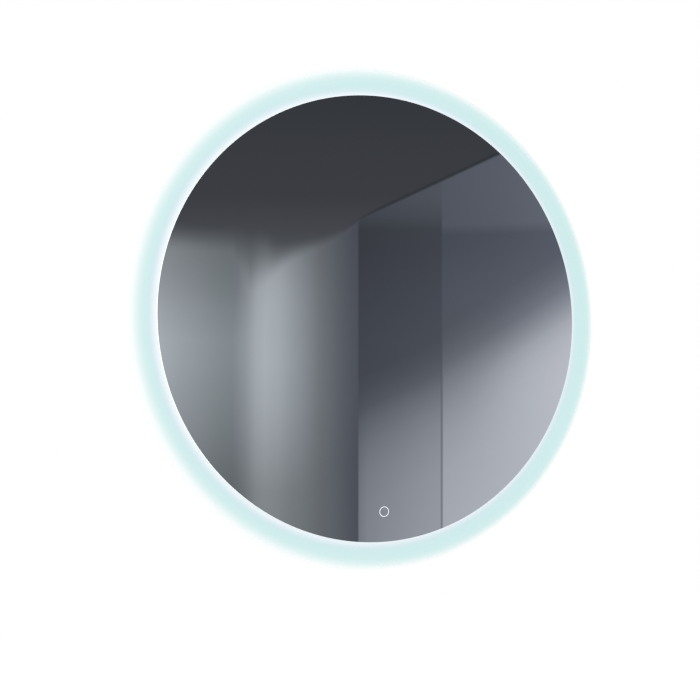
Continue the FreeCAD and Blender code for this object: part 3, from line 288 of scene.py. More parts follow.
aluminiumLook = {
    "dark": (198, 200, 203),
    "bright": (226, 228, 230),
    "patches": 0.35,
    "patchScale": 26.0,
    "roughness": 0.24,
    "lineRoughness": 0.2,
    "lineDepth": 0.00004,
    "dust": 0.3,
    "dustTone": (176, 172, 166),
}


def drawnAluminium():
    # mill-finish extrusion: bright, with fine die lines along its length and handling patches
    look = aluminiumLook
    material, tree, shader = newMaterial("drawnAluminium")
    lines = placeGroup(tree, dieLines)["Lines"]
    spots = placeGroup(tree, mottle, {"Scale": look["patchScale"], "Amount": look["patches"]})
    shade = ease(tree, lines, 0.3, 0.7)
    metal = blendColours(tree, shade, linear(*look["dark"]), linear(*look["bright"]))
    tinted = product(tree, metal, spots["Tone"])
    rough = calc(tree, "MULTIPLY_ADD", lines, look["lineRoughness"], look["roughness"])
    rough = calc(tree, "MULTIPLY", rough, spots["Tone"])
    lying = addDust(tree, shader, tinted, rough, look["dust"], look["dustTone"])
    tree.links.new(calc(tree, "SUBTRACT", 1.0, lying), shader["Metallic"])
    addBump(tree, shader, lines, look["lineDepth"], 0.5)
    return material


boardLook = {
    "mask": (30, 94, 54),
    "track": (58, 136, 78),
    "trackScale": 90.0,
    "trackHeight": 0.00004,
    "roughness": 0.34,
}


def printedBoard():
    # green mask over copper: runs of track stand slightly proud and lighter
    look = boardLook
    material, tree, shader = newMaterial("printedBoard")
    place = addNode(tree, "ShaderNodeTexCoord").outputs["Object"]
    turn = {"Vector": place, "Rotation": (math.pi / 2, 0.0, 0.0)}
    inputs = {
        "Vector": addNode(tree, "ShaderNodeMapping", turn).outputs[0],
        "Scale": look["trackScale"],
        "Mortar Size": 0.03,
        "Mortar Smooth": 0.4,
        "Brick Width": 0.7,
    }
    tracks = addNode(tree, "ShaderNodeTexBrick", inputs, offset=0.35).outputs["Fac"]
    colour = blendColours(tree, tracks, linear(*look["mask"]), linear(*look["track"]))
    tree.links.new(colour, shader["Base Color"])
    addBump(tree, shader, tracks, look["trackHeight"], 0.5)
    shader["Roughness"].default_value = look["roughness"]
    return material


earthWireLook = {
    "sheath": (58, 122, 62),
    "stripe": (226, 204, 60),
    "stripeScale": 60.0,
    "roughness": 0.45,
}


def earthWire():
    # green sheath with a yellow stripe that winds along it
    look = earthWireLook
    material, tree, shader = newMaterial("earthWire")
    place = addNode(tree, "ShaderNodeTexCoord").outputs["Object"]
    inputs = {"Vector": place, "Scale": look["stripeScale"]}
    stripes = addNode(tree, "ShaderNodeTexWave", inputs, bands_direction="DIAGONAL").outputs["Fac"]
    mask = ease(tree, stripes, 0.55, 0.65)
    colour = blendColours(tree, mask, linear(*look["sheath"]), linear(*look["stripe"]))
    tree.links.new(colour, shader["Base Color"])
    shader["Roughness"].default_value = look["roughness"]
    return material


aluminium = drawnAluminium()
powder = panCoat()
boardGreen = printedBoard()
print("finishes made")


def dress(node, material):
    # a CAD node keeps its mesh and takes a finish in its slot
    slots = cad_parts[node].data.materials
    slots.clear()
    slots.append(material)


nodeFinishes = {
    "safety_film": finishes["backFilm"],
    "glass_tape": finishes["blackFoam"],
    "edge_gasket": finishes["blackRubber"],
    "ring_reflector": finishes["whiteFilm"],
    "led_hoop": aluminium,
    "hoop_joiner": aluminium,
    "led_strip": finishes["whiteRibbon"],
    "leds": finishes["diodeFace"],
    "terminal_block": finishes["whiteNylon"],
    "terminal_screws": finishes["brassPlate"],
    "driver_tray": finishes["whiteCase"],
    "driver_lid": finishes["whiteCase"],
    "driver_board": boardGreen,
    "touch_board": boardGreen,
    "transformer": finishes["coilTape"],
    "capacitors": finishes["blackCan"],
    "touch_case": finishes["blackCase"],
    "icon_light_guide": finishes["whiteGuide"],
    "touch_sensor": finishes["brassPlate"],
    "cable_clip": finishes["whiteNylon"],
    "live_lead": finishes["brownWire"],
    "neutral_lead": finishes["blueWire"],
    "earth_lead": earthWire(),
    "light_lead": finishes["whiteLead"],
    "switch_lead": finishes["whiteLead"],
}
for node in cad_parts:
    dress(node, nodeFinishes.get(node, finishes["zincPlate"]))
print("CAD pieces dressed")


def quadFaces(copies, rows, columns):
    # quads between the rows of points: the last column joins the first, and each copy counts on
    # from the one before
    row, column = np.meshgrid(np.arange(rows - 1), np.arange(columns), indexing="ij")
    after = (column + 1) % columns
    low, high = row * columns, (row + 1) * columns
    quads = np.stack([low + column, low + after, high + after, high + column], axis=-1).reshape(-1, 4)
    return (quads[None] + (np.arange(copies) * rows * columns)[:, None, None]).reshape(-1, 4)


def shadeSmooth(mesh, sharp=sharpAngle):
    mesh.polygons.foreach_set("use_smooth", np.ones(len(mesh.polygons), bool))
    mesh.update()
    mesh.set_sharp_from_angle(angle=math.radians(sharp))


def makePiece(name, grids, material, node, body=unit, sharp=sharpAngle):
    # grids of points, copies by rows by columns, become one mesh: seams and poles are merged and the
    # faces turned outwards, then the piece stands in for a CAD node and rides on its body
    points, faces, count = [], [], 0
    for grid in grids:
        copies, rows, columns = grid.shape[:3]
        points.append(grid.reshape(-1, 3))
        faces.append(quadFaces(copies, rows, columns) + count)
        count += copies * rows * columns
    mesh = bpy.data.meshes.new(name)
    mesh.from_pydata(np.vstack(points), [], np.vstack(faces))
    build = bmesh.new()
    build.from_mesh(mesh)
    bmesh.ops.remove_doubles(build, verts=build.verts, dist=1e-7)
    bmesh.ops.dissolve_degenerate(build, edges=build.edges, dist=1e-7)
    bmesh.ops.recalc_face_normals(build, faces=build.faces)
    build.to_mesh(mesh)
    build.free()
    shadeSmooth(mesh, sharp)
    return standFor(name, mesh, material, node, body)


def standFor(name, mesh, material, node, body):
    # the new piece takes a CAD node's place, body and slot
    mesh.materials.clear()
    mesh.materials.append(material)
    piece = bpy.data.objects.new(name, mesh)
    bpy.context.collection.objects.link(piece)
    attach(piece, body)
    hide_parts(node)
    return piece


def easedProfile(points, easing, steps=5):
    # each corner P gives way to the parabola (1-t)(1-t)A + 2t(1-t)P + ttB, where A and B lie on the two
    # runs at P, its easing away; points are (radius, depth) and the first and last stay as they are
    points = np.asarray(points, float)
    easing = np.asarray(easing, float)[:, None]
    before = np.vstack([points[:1], points[:-1]]) - points
    after = np.vstack([points[1:], points[-1:]]) - points
    before *= easing / np.maximum(np.linalg.norm(before, axis=1, keepdims=True), 1e-9)
    after *= easing / np.maximum(np.linalg.norm(after, axis=1, keepdims=True), 1e-9)
    t = np.linspace(0, 1, steps)[None, :, None]
    curve = points[:, None] + (1 - t) ** 2 * before[:, None] + t ** 2 * after[:, None]
    return curve.reshape(-1, 2)


def turned(profile, places, angles):
    # a profile point (radius r, depth y) turned by angle a round a Y line through a place (x, z) is
    # (x + r cos a, y, z + r sin a)
    places = np.asarray(places, float).reshape(-1, 1, 1, 2)
    radius = profile[None, :, 0, None]
    x = places[..., 0] + radius * np.cos(angles)
    z = places[..., 1] + radius * np.sin(angles)
    y = np.broadcast_to(profile[None, :, 1, None], x.shape)
    return np.stack([x, y, z], axis=-1)


def fullTurn(count):
    return np.linspace(0, 2 * math.pi, count, endpoint=False)


def onCircle(radius, first, step, count):
    # places spaced by an angle in degrees round the middle of the glass
    angle = np.radians(first + step * np.arange(count))
    return np.stack([radius * np.cos(angle), centreZ + radius * np.sin(angle)], axis=1)


glassLook = {
    "tint": linear(247, 248, 249),
    # the arris's pale colour and its white glow are a painted highlight, standing in for light catching
    # the edge
    "edgeColour": linear(236, 246, 246),
    "paintedEdgeHighlight": 0.62,
    "arris": 0.0003,
    "turns": 400,
    "iconLine": 0.00075,
    "iconLight": 0.52,
    "litRoughness": 0.35,
}


def silveredGlass():
    # silver over the face, a polished clear arris with a painted highlight in its emission, and a
    # sandblasted ring over the switch
    look = glassLook
    material, tree, shader = newMaterial("silveredGlass")
    fromMiddle = placeGroup(tree, radiusFrom, {"Middle Z": centreZ})["Radius"]
    fromIcon = placeGroup(tree, radiusFrom, {"Middle Z": iconZ})["Radius"]
    edge = ease(tree, fromMiddle, glassRadius - look["arris"] * 1.3, glassRadius - look["arris"] * 0.7)
    offLine = calc(tree, "SUBTRACT", fromIcon, iconRadius - look["iconLine"] / 2)
    offLine = calc(tree, "ABSOLUTE", offLine)
    icon = ease(tree, offLine, look["iconLine"] * 0.62, look["iconLine"] * 0.38)
    lit = calc(tree, "MAXIMUM", edge, icon)
    tree.links.new(blendColours(tree, lit, look["tint"], look["edgeColour"]), shader["Base Color"])
    tree.links.new(calc(tree, "SUBTRACT", 1.0, lit), shader["Metallic"])
    tree.links.new(calc(tree, "MULTIPLY", lit, look["litRoughness"]), shader["Roughness"])
    # painted highlight: the arris glows white as if it caught the light, and the switch's ring glows on
    # top of it
    paintedEdgeShine = calc(tree, "MULTIPLY", edge, look["paintedEdgeHighlight"])
    iconGlowAndPaintedEdge = calc(tree, "MULTIPLY_ADD", icon, look["iconLight"], paintedEdgeShine)
    white = addNode(tree, "ShaderNodeCombineColor", {0: iconGlowAndPaintedEdge, 1: iconGlowAndPaintedEdge, 2: iconGlowAndPaintedEdge}).outputs[0]
    tree.links.new(white, shader["Emission Color"])
    shader["Emission Strength"].default_value = 1.0
    return material


def makeGlass():
    # a disc turned round its middle line, with a small flat arris at the front and back edges
    radius, arris = glassRadius, glassLook["arris"]
    front, back = glassLow[1], glassHigh[1]
    profile = np.array([
        (0.0, front), (radius * 0.5, front), (radius - arris, front), (radius, front + arris),
        (radius, back - arris), (radius - arris, back), (radius * 0.5, back), (0.0, back)])
    disc = turned(profile, (0.0, centreZ), fullTurn(glassLook["turns"]))
    makePiece("mirrorGlass", [disc], silveredGlass(), "mirror_glass")


ringLook = {
    # tone of the lit ring by its radius as a share of the glass's, out to where the aqua is even
    "stops": [
        (0.955, (250, 252, 255)),
        (1.000, (242, 246, 250)),
        (1.012, (230, 240, 245)),
        (1.022, (218, 235, 239)),
        (1.034, (209, 232, 235)),
        (1.048, (206, 234, 234)),
        (1.127, (205, 234, 233)),
    ],
    # how far the aqua has turned white, by the same share read a little off centre
    "fade": [
        (1.060, 0.0), (1.083, 0.09), (1.095, 0.26), (1.107, 0.46), (1.119, 0.72), (1.130, 0.9),
        (1.142, 1.0)],
    "fadeMiddle": 0.0082,
    "fadedTone": (254, 255, 255),
    "ownColour": 0.30,  # share of the tone that is the acrylic's own and not its light
    "clearFrom": 1.098,
    "clearTo": 1.127,
    "clearAlpha": 0.35,
    "rimTone": (224, 243, 243),
    "rimFrom": 1.10,
    "rimTo": 1.12,
    "rimRound": 0.0015,
    "faceEase": 0.012,
    "diodeGap": 0.0023,  # from the ribbon to the acrylic's inner edge
    "roughness": 0.22,
    "specular": 0.18,
    "turns": 400,
}


def litAcrylic():
    # light guide: white beside the diodes, aqua further out, and clear at its rim, where its print
    # of dots ends
    look = ringLook
    material, tree, shader = newMaterial("litAcrylic")
    radius = placeGroup(tree, radiusFrom, {"Middle Z": centreZ})["Radius"]
    share = calc(tree, "DIVIDE", radius, glassRadius)
    off = placeGroup(tree, radiusFrom, {"Middle X": look["fadeMiddle"], "Middle Z": centreZ})["Radius"]
    fade = toneRamp(tree, calc(tree, "DIVIDE", off, glassRadius), levels(look["fade"]))
    aqua = toneRamp(tree, share, [(at, linear(*tone)) for at, tone in look["stops"]])
    tone = blendColours(tree, fade, aqua, linear(*look["fadedTone"]))
    normal = addNode(tree, "ShaderNodeTexCoord").outputs["Normal"]
    facing = addNode(tree, "ShaderNodeSeparateXYZ", {0: normal}).outputs["Y"]
    sideways = ease(tree, calc(tree, "ABSOLUTE", facing), 0.5, 0.1)
    rim = calc(tree, "MULTIPLY", sideways, ease(tree, share, look["rimFrom"], look["rimTo"]))
    tone = blendColours(tree, rim, tone, linear(*look["rimTone"]))
    tree.links.new(product(tree, tone, (1 - look["ownColour"],) * 3), shader["Emission Color"])
    tree.links.new(product(tree, tone, (look["ownColour"],) * 3), shader["Base Color"])
    shader["Emission Strength"].default_value = 1.0
    clear = ease(tree, share, look["clearFrom"], look["clearTo"])
    tree.links.new(calc(tree, "MULTIPLY_ADD", clear, look["clearAlpha"] - 1.0, 1.0), shader["Alpha"])
    spots = placeGroup(tree, mottle, {"Grain Scale": 400.0})
    addBump(tree, shader, spots["Grain"], 0.00001, 0.4)
    shader["Roughness"].default_value = look["roughness"]
    shader["Specular IOR Level"].default_value = look["specular"]
    return material


def makeLightRing():
    # closed profile turned round the middle of the glass: flat faces, straight bore, rounded rim
    look = ringLook
    low, high = corners("light_ring")
    outer, front, back = (high[0] - low[0]) / 2, low[1], high[1]
    inner = corners("led_strip")[1][0] + look["diodeGap"]
    middle = (inner + outer) / 2
    points = [
        (inner, back), (inner, front), (middle, front), (outer, front), (outer, back), (middle, back),
        (inner, back)]
    easing = [0, 0, look["faceEase"], look["rimRound"], look["rimRound"], look["faceEase"], 0]
    profile = easedProfile(points, easing, steps=8)
    ring = turned(profile, (0.0, centreZ), fullTurn(look["turns"]))
    makePiece("lightRing", [ring], litAcrylic(), "light_ring")


makeGlass()
makeLightRing()
print("glass and lit ring made")


panLook = {
    "sheet": 0.001,
    "floorRadius": 0.300,
    "draft": 0.004,
    "bend": 0.003,  # easing of the bends' inner side
    "beadMiddle": 0.278,
    "beadWidth": 0.014,
    "beadDepth": 0.003,
    "beadSlope": 0.0028,
    "beadEase": 0.0012,
    "ribStart": 0.201,
    "ribEnd": 0.253,
    "ribWidth": 0.014,
    "ribDepth": 0.003,
    "ribSlope": 0.0032,
    "ribCorner": 0.006,
    "ribCount": 9,
    "ribMargin": 0.0005,
    "slopeRows": 0.008,  # length of the dense rows of points at a rib's ends
    "middleRows": 0.012,  # the rows between start this far from its ends
    "floorRow": 0.1,
    "turns": 240,
    "studRadius": 0.002,
    "studLength": 0.008,
    "studRoot": 0.0004,
    "studEase": 0.0005,
    "studTurns": 24,
    "windowLap": 0.012,
    "windowCorner": 0.004,
    "windowReach": 0.006,
    "windowPoints": 48,
}


def panProfile():
    # outer skin from the middle of the floor to the flange's edge, then the inner skin back, a
    # sheet's thickness away
    look = panLook
    low, high = corners("chassis_pan")
    floorBack, flangeFront, flangeEdge = high[1], low[1], high[0]
    sheet, bend, beadEase = look["sheet"], look["bend"], look["beadEase"]
    floorFront, flangeBack = floorBack - sheet, flangeFront + sheet
    inside, outside = (look["beadMiddle"] + side * look["beadWidth"] / 2 for side in (-1, 1))
    rim, wallFoot = look["floorRadius"] + look["draft"], look["floorRadius"]
    slope, deep = look["beadSlope"], look["beadDepth"]
    points = [
        (0.0, floorBack), (inside, floorBack), (inside + slope, floorBack - deep),
        (outside - slope, floorBack - deep), (outside, floorBack), (wallFoot, floorBack),
        (rim, flangeBack), (flangeEdge, flangeBack), (flangeEdge, flangeFront),
        (rim - sheet, flangeFront), (wallFoot - sheet, floorFront), (outside, floorFront),
        (outside - slope, floorFront - deep), (inside + slope, floorFront - deep),
        (inside, floorFront), (0.0, floorFront)]
    bead = [beadEase] * 4
    easing = [0, *bead, bend + sheet, bend, sheet / 3, sheet / 3, bend + sheet, bend, *bead, 0]
    profile = easedProfile(points, easing)
    # more rows where the ribs start and end, on both skins: the floor runs straight out from the middle
    along = np.concatenate([[0], np.cumsum(np.linalg.norm(np.diff(profile, axis=0), axis=1))])
    start, end = look["ribStart"] - look["ribMargin"], look["ribEnd"] + look["ribMargin"]
    rows = np.concatenate([
        np.linspace(start, start + look["slopeRows"], 14),
        np.linspace(start + look["middleRows"], end - look["middleRows"], 6),
        np.linspace(end - look["slopeRows"], end, 14),
        [look["floorRow"]]])
    wanted = np.sort(np.concatenate([along, rows, along[-1] - rows]))
    return np.stack([np.interp(wanted, along, profile[:, side]) for side in (0, 1)], axis=1)


def pressRibs(grid):
    # each rib is a long rectangle with round corners lying along a radius: where a floor point is
    # inside its outline by d, the sheet moves forwards by depth times an S-curve of d over the slope
    look = panLook
    angle = -np.linspace(0, math.pi, look["ribCount"])[:, None, None]
    x, z = grid[0, ..., 0], grid[0, ..., 2] - centreZ
    along = x * np.cos(angle) + z * np.sin(angle)
    across = np.abs(z * np.cos(angle) - x * np.sin(angle))
    halfLength, halfWidth = (look["ribEnd"] - look["ribStart"]) / 2, look["ribWidth"] / 2
    along = np.abs(along - (look["ribEnd"] + look["ribStart"]) / 2)
    corner = look["ribCorner"]
    overLength, overWidth = along - halfLength + corner, across - halfWidth + corner
    outside = np.hypot(np.maximum(overLength, 0), np.maximum(overWidth, 0)) - corner
    outside += np.minimum(np.maximum(overLength, overWidth), 0)
    depth = np.clip(-outside / look["ribSlope"], 0, 1)
    grid[0, ..., 1] -= look["ribDepth"] * (depth ** 2 * (3 - 2 * depth)).max(axis=0)
    return grid


def cutWindow(mesh):
    # a block with round corners takes the service window out of the floor
    look = panLook
    low, high = corners("service_cover")
    middle = (low + high) / 2
    half = (high - low) / 2 - look["windowLap"] - look["windowCorner"]
    count = look["windowPoints"]
    angle = fullTurn(count) + math.pi / count
    x = middle[0] + np.sign(np.cos(angle)) * half[0] + look["windowCorner"] * np.cos(angle)
    z = middle[2] + np.sign(np.sin(angle)) * half[2] + look["windowCorner"] * np.sin(angle)
    depths = [np.full(count, low[1] + side * look["windowReach"]) for side in (-1, 1)]
    ends = [np.stack([x, y, z], axis=1) for y in depths]
    cutter = bpy.data.meshes.new("windowCutter")
    faces = [(i, (i + 1) % count, count + (i + 1) % count, count + i) for i in range(count)]
    faces += [tuple(range(count - 1, -1, -1)), tuple(range(count, 2 * count))]
    cutter.from_pydata(np.concatenate(ends), [], faces)
    block = bpy.data.objects.new("windowCutter", cutter)
    whole = bpy.data.objects.new("panWhole", mesh)
    for item in (block, whole):
        bpy.context.collection.objects.link(item)
    cut = whole.modifiers.new("window", "BOOLEAN")
    cut.operation, cut.object, cut.solver = "DIFFERENCE", block, "EXACT"
    shaped = bpy.data.meshes.new_from_object(whole.evaluated_get(bpy.context.evaluated_depsgraph_get()))
    for item in (block, whole):
        bpy.data.objects.remove(item)
    return shaped


def makePan():
    # the pressed pan with its ribs, window and the studs for the driver and the earth lead
    look = panLook
    fine = np.radians(np.linspace(0.8, 2.3, 11))  # more columns over the ribs' sides
    ribs = -np.linspace(0, math.pi, look["ribCount"])[:, None]
    angles = np.concatenate([fullTurn(look["turns"]), (ribs + fine).ravel(), (ribs - fine).ravel()])
    angles = np.unique(np.round(np.mod(angles, 2 * math.pi), 5))
    shell = pressRibs(turned(panProfile(), (0.0, centreZ), angles))
    driverLow, driverHigh = corners("driver_nuts")
    nutHalf = (driverHigh[2] - driverLow[2]) / 2
    driverZ = (driverLow[2] + driverHigh[2]) / 2
    earthLow, earthHigh = corners("earth_nut")
    nutAcross = (earthHigh[0] - earthLow[0]) / 2
    places = [
        (driverLow[0] + nutAcross, driverZ),
        (driverHigh[0] - nutAcross, driverZ),
        ((earthLow[0] + earthHigh[0]) / 2, earthHigh[2] - nutHalf)]
    floor = corners("chassis_pan")[1][1] - look["sheet"]
    root, tip, radius = floor + look["studRoot"], floor - look["studLength"], look["studRadius"]
    stud = [(0, root), (radius, root), (radius, tip), (0, tip)]
    stud = easedProfile(stud, [0, 0, look["studEase"], 0], steps=3)
    studs = turned(stud, places, fullTurn(look["studTurns"]))
    pan = makePiece("pressedPan", [shell, studs], powder, "chassis_pan")
    pan.data = cutWindow(pan.data)
    shadeSmooth(pan.data)


makePan()
print("pan pressed")


screwLook = {
    "crown": 0.3,  # share of the head's height that its crown takes
    "rimHeight": 0.45,  # height of the head's rim, as a share of the head's
    "armWidth": 0.15,  # half width of the cross's arms, as a share of the head's radius
    "armReach": 0.58,
    "recess": 0.55,  # depth of the cross, as a share of the head's height
    "soft": 0.07,
    "twist": 1.9,  # each cross is turned by this much more than the one before
    "turns": 72,
    "sharpAngle": 40.0,
    "smallHead": 0.003,
    "smallHeight": 0.0018,
    "smallShank": 0.0015,
    "largeHeight": 0.0022,
    "largeShank": 0.002,
}


def makeScrews(name, node, places, headRadius, headHeight, shank, seat, tip):
    # pan heads: depth over the seat falls as the square of r/R towards the rim, less a cross whose
    # two arms are smooth bars in the turned direction; below the seat a shank with an eased tip
    look = screwLook
    out = 1.0 if seat > tip else -1.0
    share = np.concatenate([np.linspace(0, 0.7, 15), [0.8, 0.9, 0.96, 1.0, 1.0]])
    rise = 1 - look["crown"] * share ** 2
    rise[-2:] = (look["rimHeight"], 0.0)
    head = np.stack([share * headRadius, seat + out * rise * headHeight], axis=1)
    stem = easedProfile([(shank, seat), (shank, tip), (0, tip)], [0, shank * 0.4, 0], steps=3)
    grid = turned(np.vstack([head, stem]), places, fullTurn(look["turns"]))
    twist = (np.arange(len(grid)) * look["twist"])[:, None, None]
    angle = fullTurn(look["turns"])[None, None, :] + twist
    radius = np.concatenate([share, np.full(len(stem), 2.0)])[None, :, None]
    u, v = np.abs(radius * np.cos(angle)), np.abs(radius * np.sin(angle))

    def bar(across, along):
        wide = np.clip((look["armWidth"] + look["soft"] - across) / look["soft"], 0, 1)
        return wide * np.clip((look["armReach"] + look["soft"] - along) / look["soft"], 0, 1)

    grid[..., 1] -= out * look["recess"] * headHeight * np.maximum(bar(u, v), bar(v, u))
    makePiece(name, [grid], finishes["zincPlate"], node, sharp=look["sharpAngle"])


def makeSmallScrews(name, node, places, back, tip):
    look = screwLook
    head, height = look["smallHead"], look["smallHeight"]
    makeScrews(name, node, places, head, height, look["smallShank"], back - height, tip)


backLook = {
    "hoopCircle": 0.329,  # the hoop's screws: their circle, the first one's angle and the step
    "hoopFirst": 22.5,
    "hoopStep": 45,
    "joinerX": 0.014,
    "hangerCount": 4,
}


def makeBackScrews():
    look, head = backLook, screwLook["smallHead"]
    low, high = corners("hanger_screws")
    radius, height = (high[2] - low[2]) / 2, screwLook["largeHeight"]
    across = np.linspace(low[0] + radius, high[0] - radius, look["hangerCount"])
    places = np.stack([across, np.full(look["hangerCount"], low[2] + radius)], axis=1)
    makeScrews("hangerScrews", "hanger_screws", places, radius, height, screwLook["largeShank"],
               high[1] - height, low[1])
    low, high = corners("cover_screws")
    places = [(x, z) for x in (low[0] + head, high[0] - head) for z in (low[2] + head, high[2] - head)]
    makeSmallScrews("coverScrews", "cover_screws", places, high[1], low[1])
    low, high = corners("hoop_screws")
    joiner = [(side * look["joinerX"], high[2] - head) for side in (-1, 1)]
    places = np.vstack([onCircle(look["hoopCircle"], look["hoopFirst"], look["hoopStep"], 8), joiner])
    makeSmallScrews("hoopScrews", "hoop_screws", places, high[1], low[1])


ringNutLook = {
    "flats": 0.0055,
    "bore": 0.0014,
    "chamfer": 0.5,
    "faceShare": 0.98,  # radius of the end faces, as a share of the hexagon's half width
    "step": 45,
    "count": 8,
    "turns": 72,
    "screwHead": 0.003,
    "screwHeadHeight": 0.0008,
    "screwShank": 0.0015,
    "headEase": 0.0003,
    "tipEase": 0.0005,
    "screwTurns": 36,
}


def makeRingNuts():
    # at angle a the hexagon's radius is its half width over the cosine of a's distance from the
    # nearest flat's middle; towards the end faces it is turned down to a cone
    look = ringNutLook
    low, high = corners("ring_nuts")
    half = look["flats"] / 2
    angle = fullTurn(look["turns"])
    hexagon = half / np.cos(np.mod(angle + math.pi / 6, math.pi / 3) - math.pi / 6)
    drop = (hexagon - half) * look["chamfer"]
    face, hole = np.full_like(angle, half * look["faceShare"]), np.full_like(angle, look["bore"])
    back, front = np.full_like(angle, high[1]), np.full_like(angle, low[1])
    radius = np.stack([hole, face, hexagon, hexagon, face, hole, hole])
    depth = np.stack([back, back, back - drop, front + drop, front, front, back])
    places = onCircle(high[0] - half, 0, look["step"], look["count"])
    x = places[:, 0, None, None] + radius * np.cos(angle)
    z = places[:, 1, None, None] + radius * np.sin(angle)
    nuts = np.stack([x, np.broadcast_to(depth[None], x.shape), z], axis=-1)
    makePiece("ringNuts", [nuts], finishes["zincPlate"], "ring_nuts")
    low, high = corners("ring_screws")
    head, shank, seat = look["screwHead"], look["screwShank"], low[1] + look["screwHeadHeight"]
    points = [(0, low[1]), (head, low[1]), (head, seat), (shank, seat), (shank, high[1]), (0, high[1])]
    profile = easedProfile(points, [0, look["headEase"], 0, 0, look["tipEase"], 0], steps=3)
    screws = turned(profile, places, fullTurn(look["screwTurns"]))
    makePiece("ringScrews", [screws], finishes["zincPlate"], "ring_screws")


bumperLook = {
    "hollow": 0.0008,
    "hollowRadius": 0.5,  # the hollow's floor and mouth, as shares of the button's radius
    "mouthRadius": 0.62,
    "edge": 0.0022,
    "foot": 0.0006,
    "turns": 72,
}


def makeBumpers():
    # soft-edged rubber buttons, slightly hollowed in the face that meets the wall
    look = bumperLook
    low, high = corners("wall_bumpers")
    radius, hollow = (high[2] - low[2]) / 2, high[1] - look["hollow"]
    points = [
        (0, low[1]), (radius, low[1]), (radius, high[1]), (radius * look["mouthRadius"], high[1]),
        (radius * look["hollowRadius"], hollow), (0, hollow)]
    easing = [0, look["foot"], look["edge"], look["foot"], look["hollow"], 0]
    places = [(low[0] + radius, low[2] + radius), (high[0] - radius, low[2] + radius)]
    buttons = turned(easedProfile(points, easing, steps=6), places, fullTurn(look["turns"]))
    makePiece("wallBumpers", [buttons], finishes["blackRubber"], "wall_bumpers")


grommetLook = {
    "bore": 0.004,
    "neck": 0.0065,
    "lip": 0.002,
    "groove": 0.002,
    "taper": 0.0008,
    "lipTaper": 0.0004,
    "mouth": 0.0005,
    "mouthDepth": 0.003,
    "easing": [0, 0.0005, 0, 0, 0.0004, 0.0011, 0.0008, 0.0004, 0],  # of the profile's points in turn
    "turns": 72,
}


def makeGrommet():
    # rubber bush: a domed lip outside, a groove for the sheet's edge and a tapered sleeve inside
    look = grommetLook
    low, high = corners("cable_grommet")
    flange = (high[0] - low[0]) / 2
    place = ((low[0] + high[0]) / 2, (low[2] + high[2]) / 2)
    bore, neck, sheetBack = look["bore"], look["neck"], high[1] - look["lip"]
    points = [
        (bore, low[1]), (neck - look["taper"], low[1]), (neck, sheetBack - look["groove"]),
        (neck, sheetBack), (flange, sheetBack), (flange - look["lipTaper"], high[1]),
        (bore + look["mouth"], high[1]), (bore, high[1] - look["mouthDepth"]), (bore, low[1])]
    bush = easedProfile(points, look["easing"], steps=6)
    bush = turned(bush, place, fullTurn(look["turns"]))
    makePiece("cableGrommet", [bush], finishes["blackRubber"], "cable_grommet")


makeBackScrews()
makeRingNuts()
makeBumpers()
makeGrommet()
print("screws, nuts, bumpers and grommet made")


edgeLook = {"rail": 0.0003, "cover": 0.0002, "segments": 2}


def easeEdges(node, name, material, width, body=unit):
    # the CAD piece's own form, its loose triangles merged into faces, with a narrow round on every edge
    build = bmesh.new()
    build.from_mesh(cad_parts[node].data)
    bmesh.ops.remove_doubles(build, verts=build.verts, dist=1e-6)
    bmesh.ops.dissolve_limit(build, angle_limit=math.radians(0.5), verts=build.verts, edges=build.edges)
    mesh = bpy.data.meshes.new(name)
    build.to_mesh(mesh)
    build.free()
    shadeSmooth(mesh)
    piece = standFor(name, mesh, material, node, body)
    edge = piece.modifiers.new("easedEdges", "BEVEL")
    edge.width, edge.segments, edge.limit_method = width, edgeLook["segments"], "ANGLE"
    edge.angle_limit = math.radians(sharpAngle)
    edge.harden_normals = True


easeEdges("wall_rail", "wallRail", aluminium, edgeLook["rail"], wall)
easeEdges("hanger_rail", "hangerRail", aluminium, edgeLook["rail"])
easeEdges("service_cover", "serviceCover", powder, edgeLook["cover"])
print("rails and cover eased")


studio = {
    "pale": (226, 228, 230),
    "light": 1.06,
    "lightByRise": [(-90.0, 0.8), (0.0, 0.97), (90.0, 1.0)],  # by elevation
    "lightByDepth": [(-1.0, 0.5), (-0.3, 0.62), (0.0, 0.9), (0.15, 1.0)],  # from behind to in front
    "glassTint": 1.05,
    "aside": (0.76, 0.77, 0.79, 1.0),  # what the glass shows from beside and behind it
    "asideFrom": (0.15, -0.25),
    "paleFrom": (-0.6, -0.25),  # the backdrop turns from white to pale here
    "floorZ": -1.5,
    "floorReach": 3.0,
    "floorWhite": (250, 250, 250),
    "whiteFrom": 1.0,  # from here back the floor is as white as the backdrop behind the mirror
    "whiteTo": 1.6,
    "floorLift": 0.3,
    "keyPlace": (-1.6, -2.2, 1.9),
    "keyPower": 22,
    "keySize": 1.6,
    "backPlace": (-1.5, 1.7, 1.5),
    "backPower": 60,
    "backSize": 1.0,
}

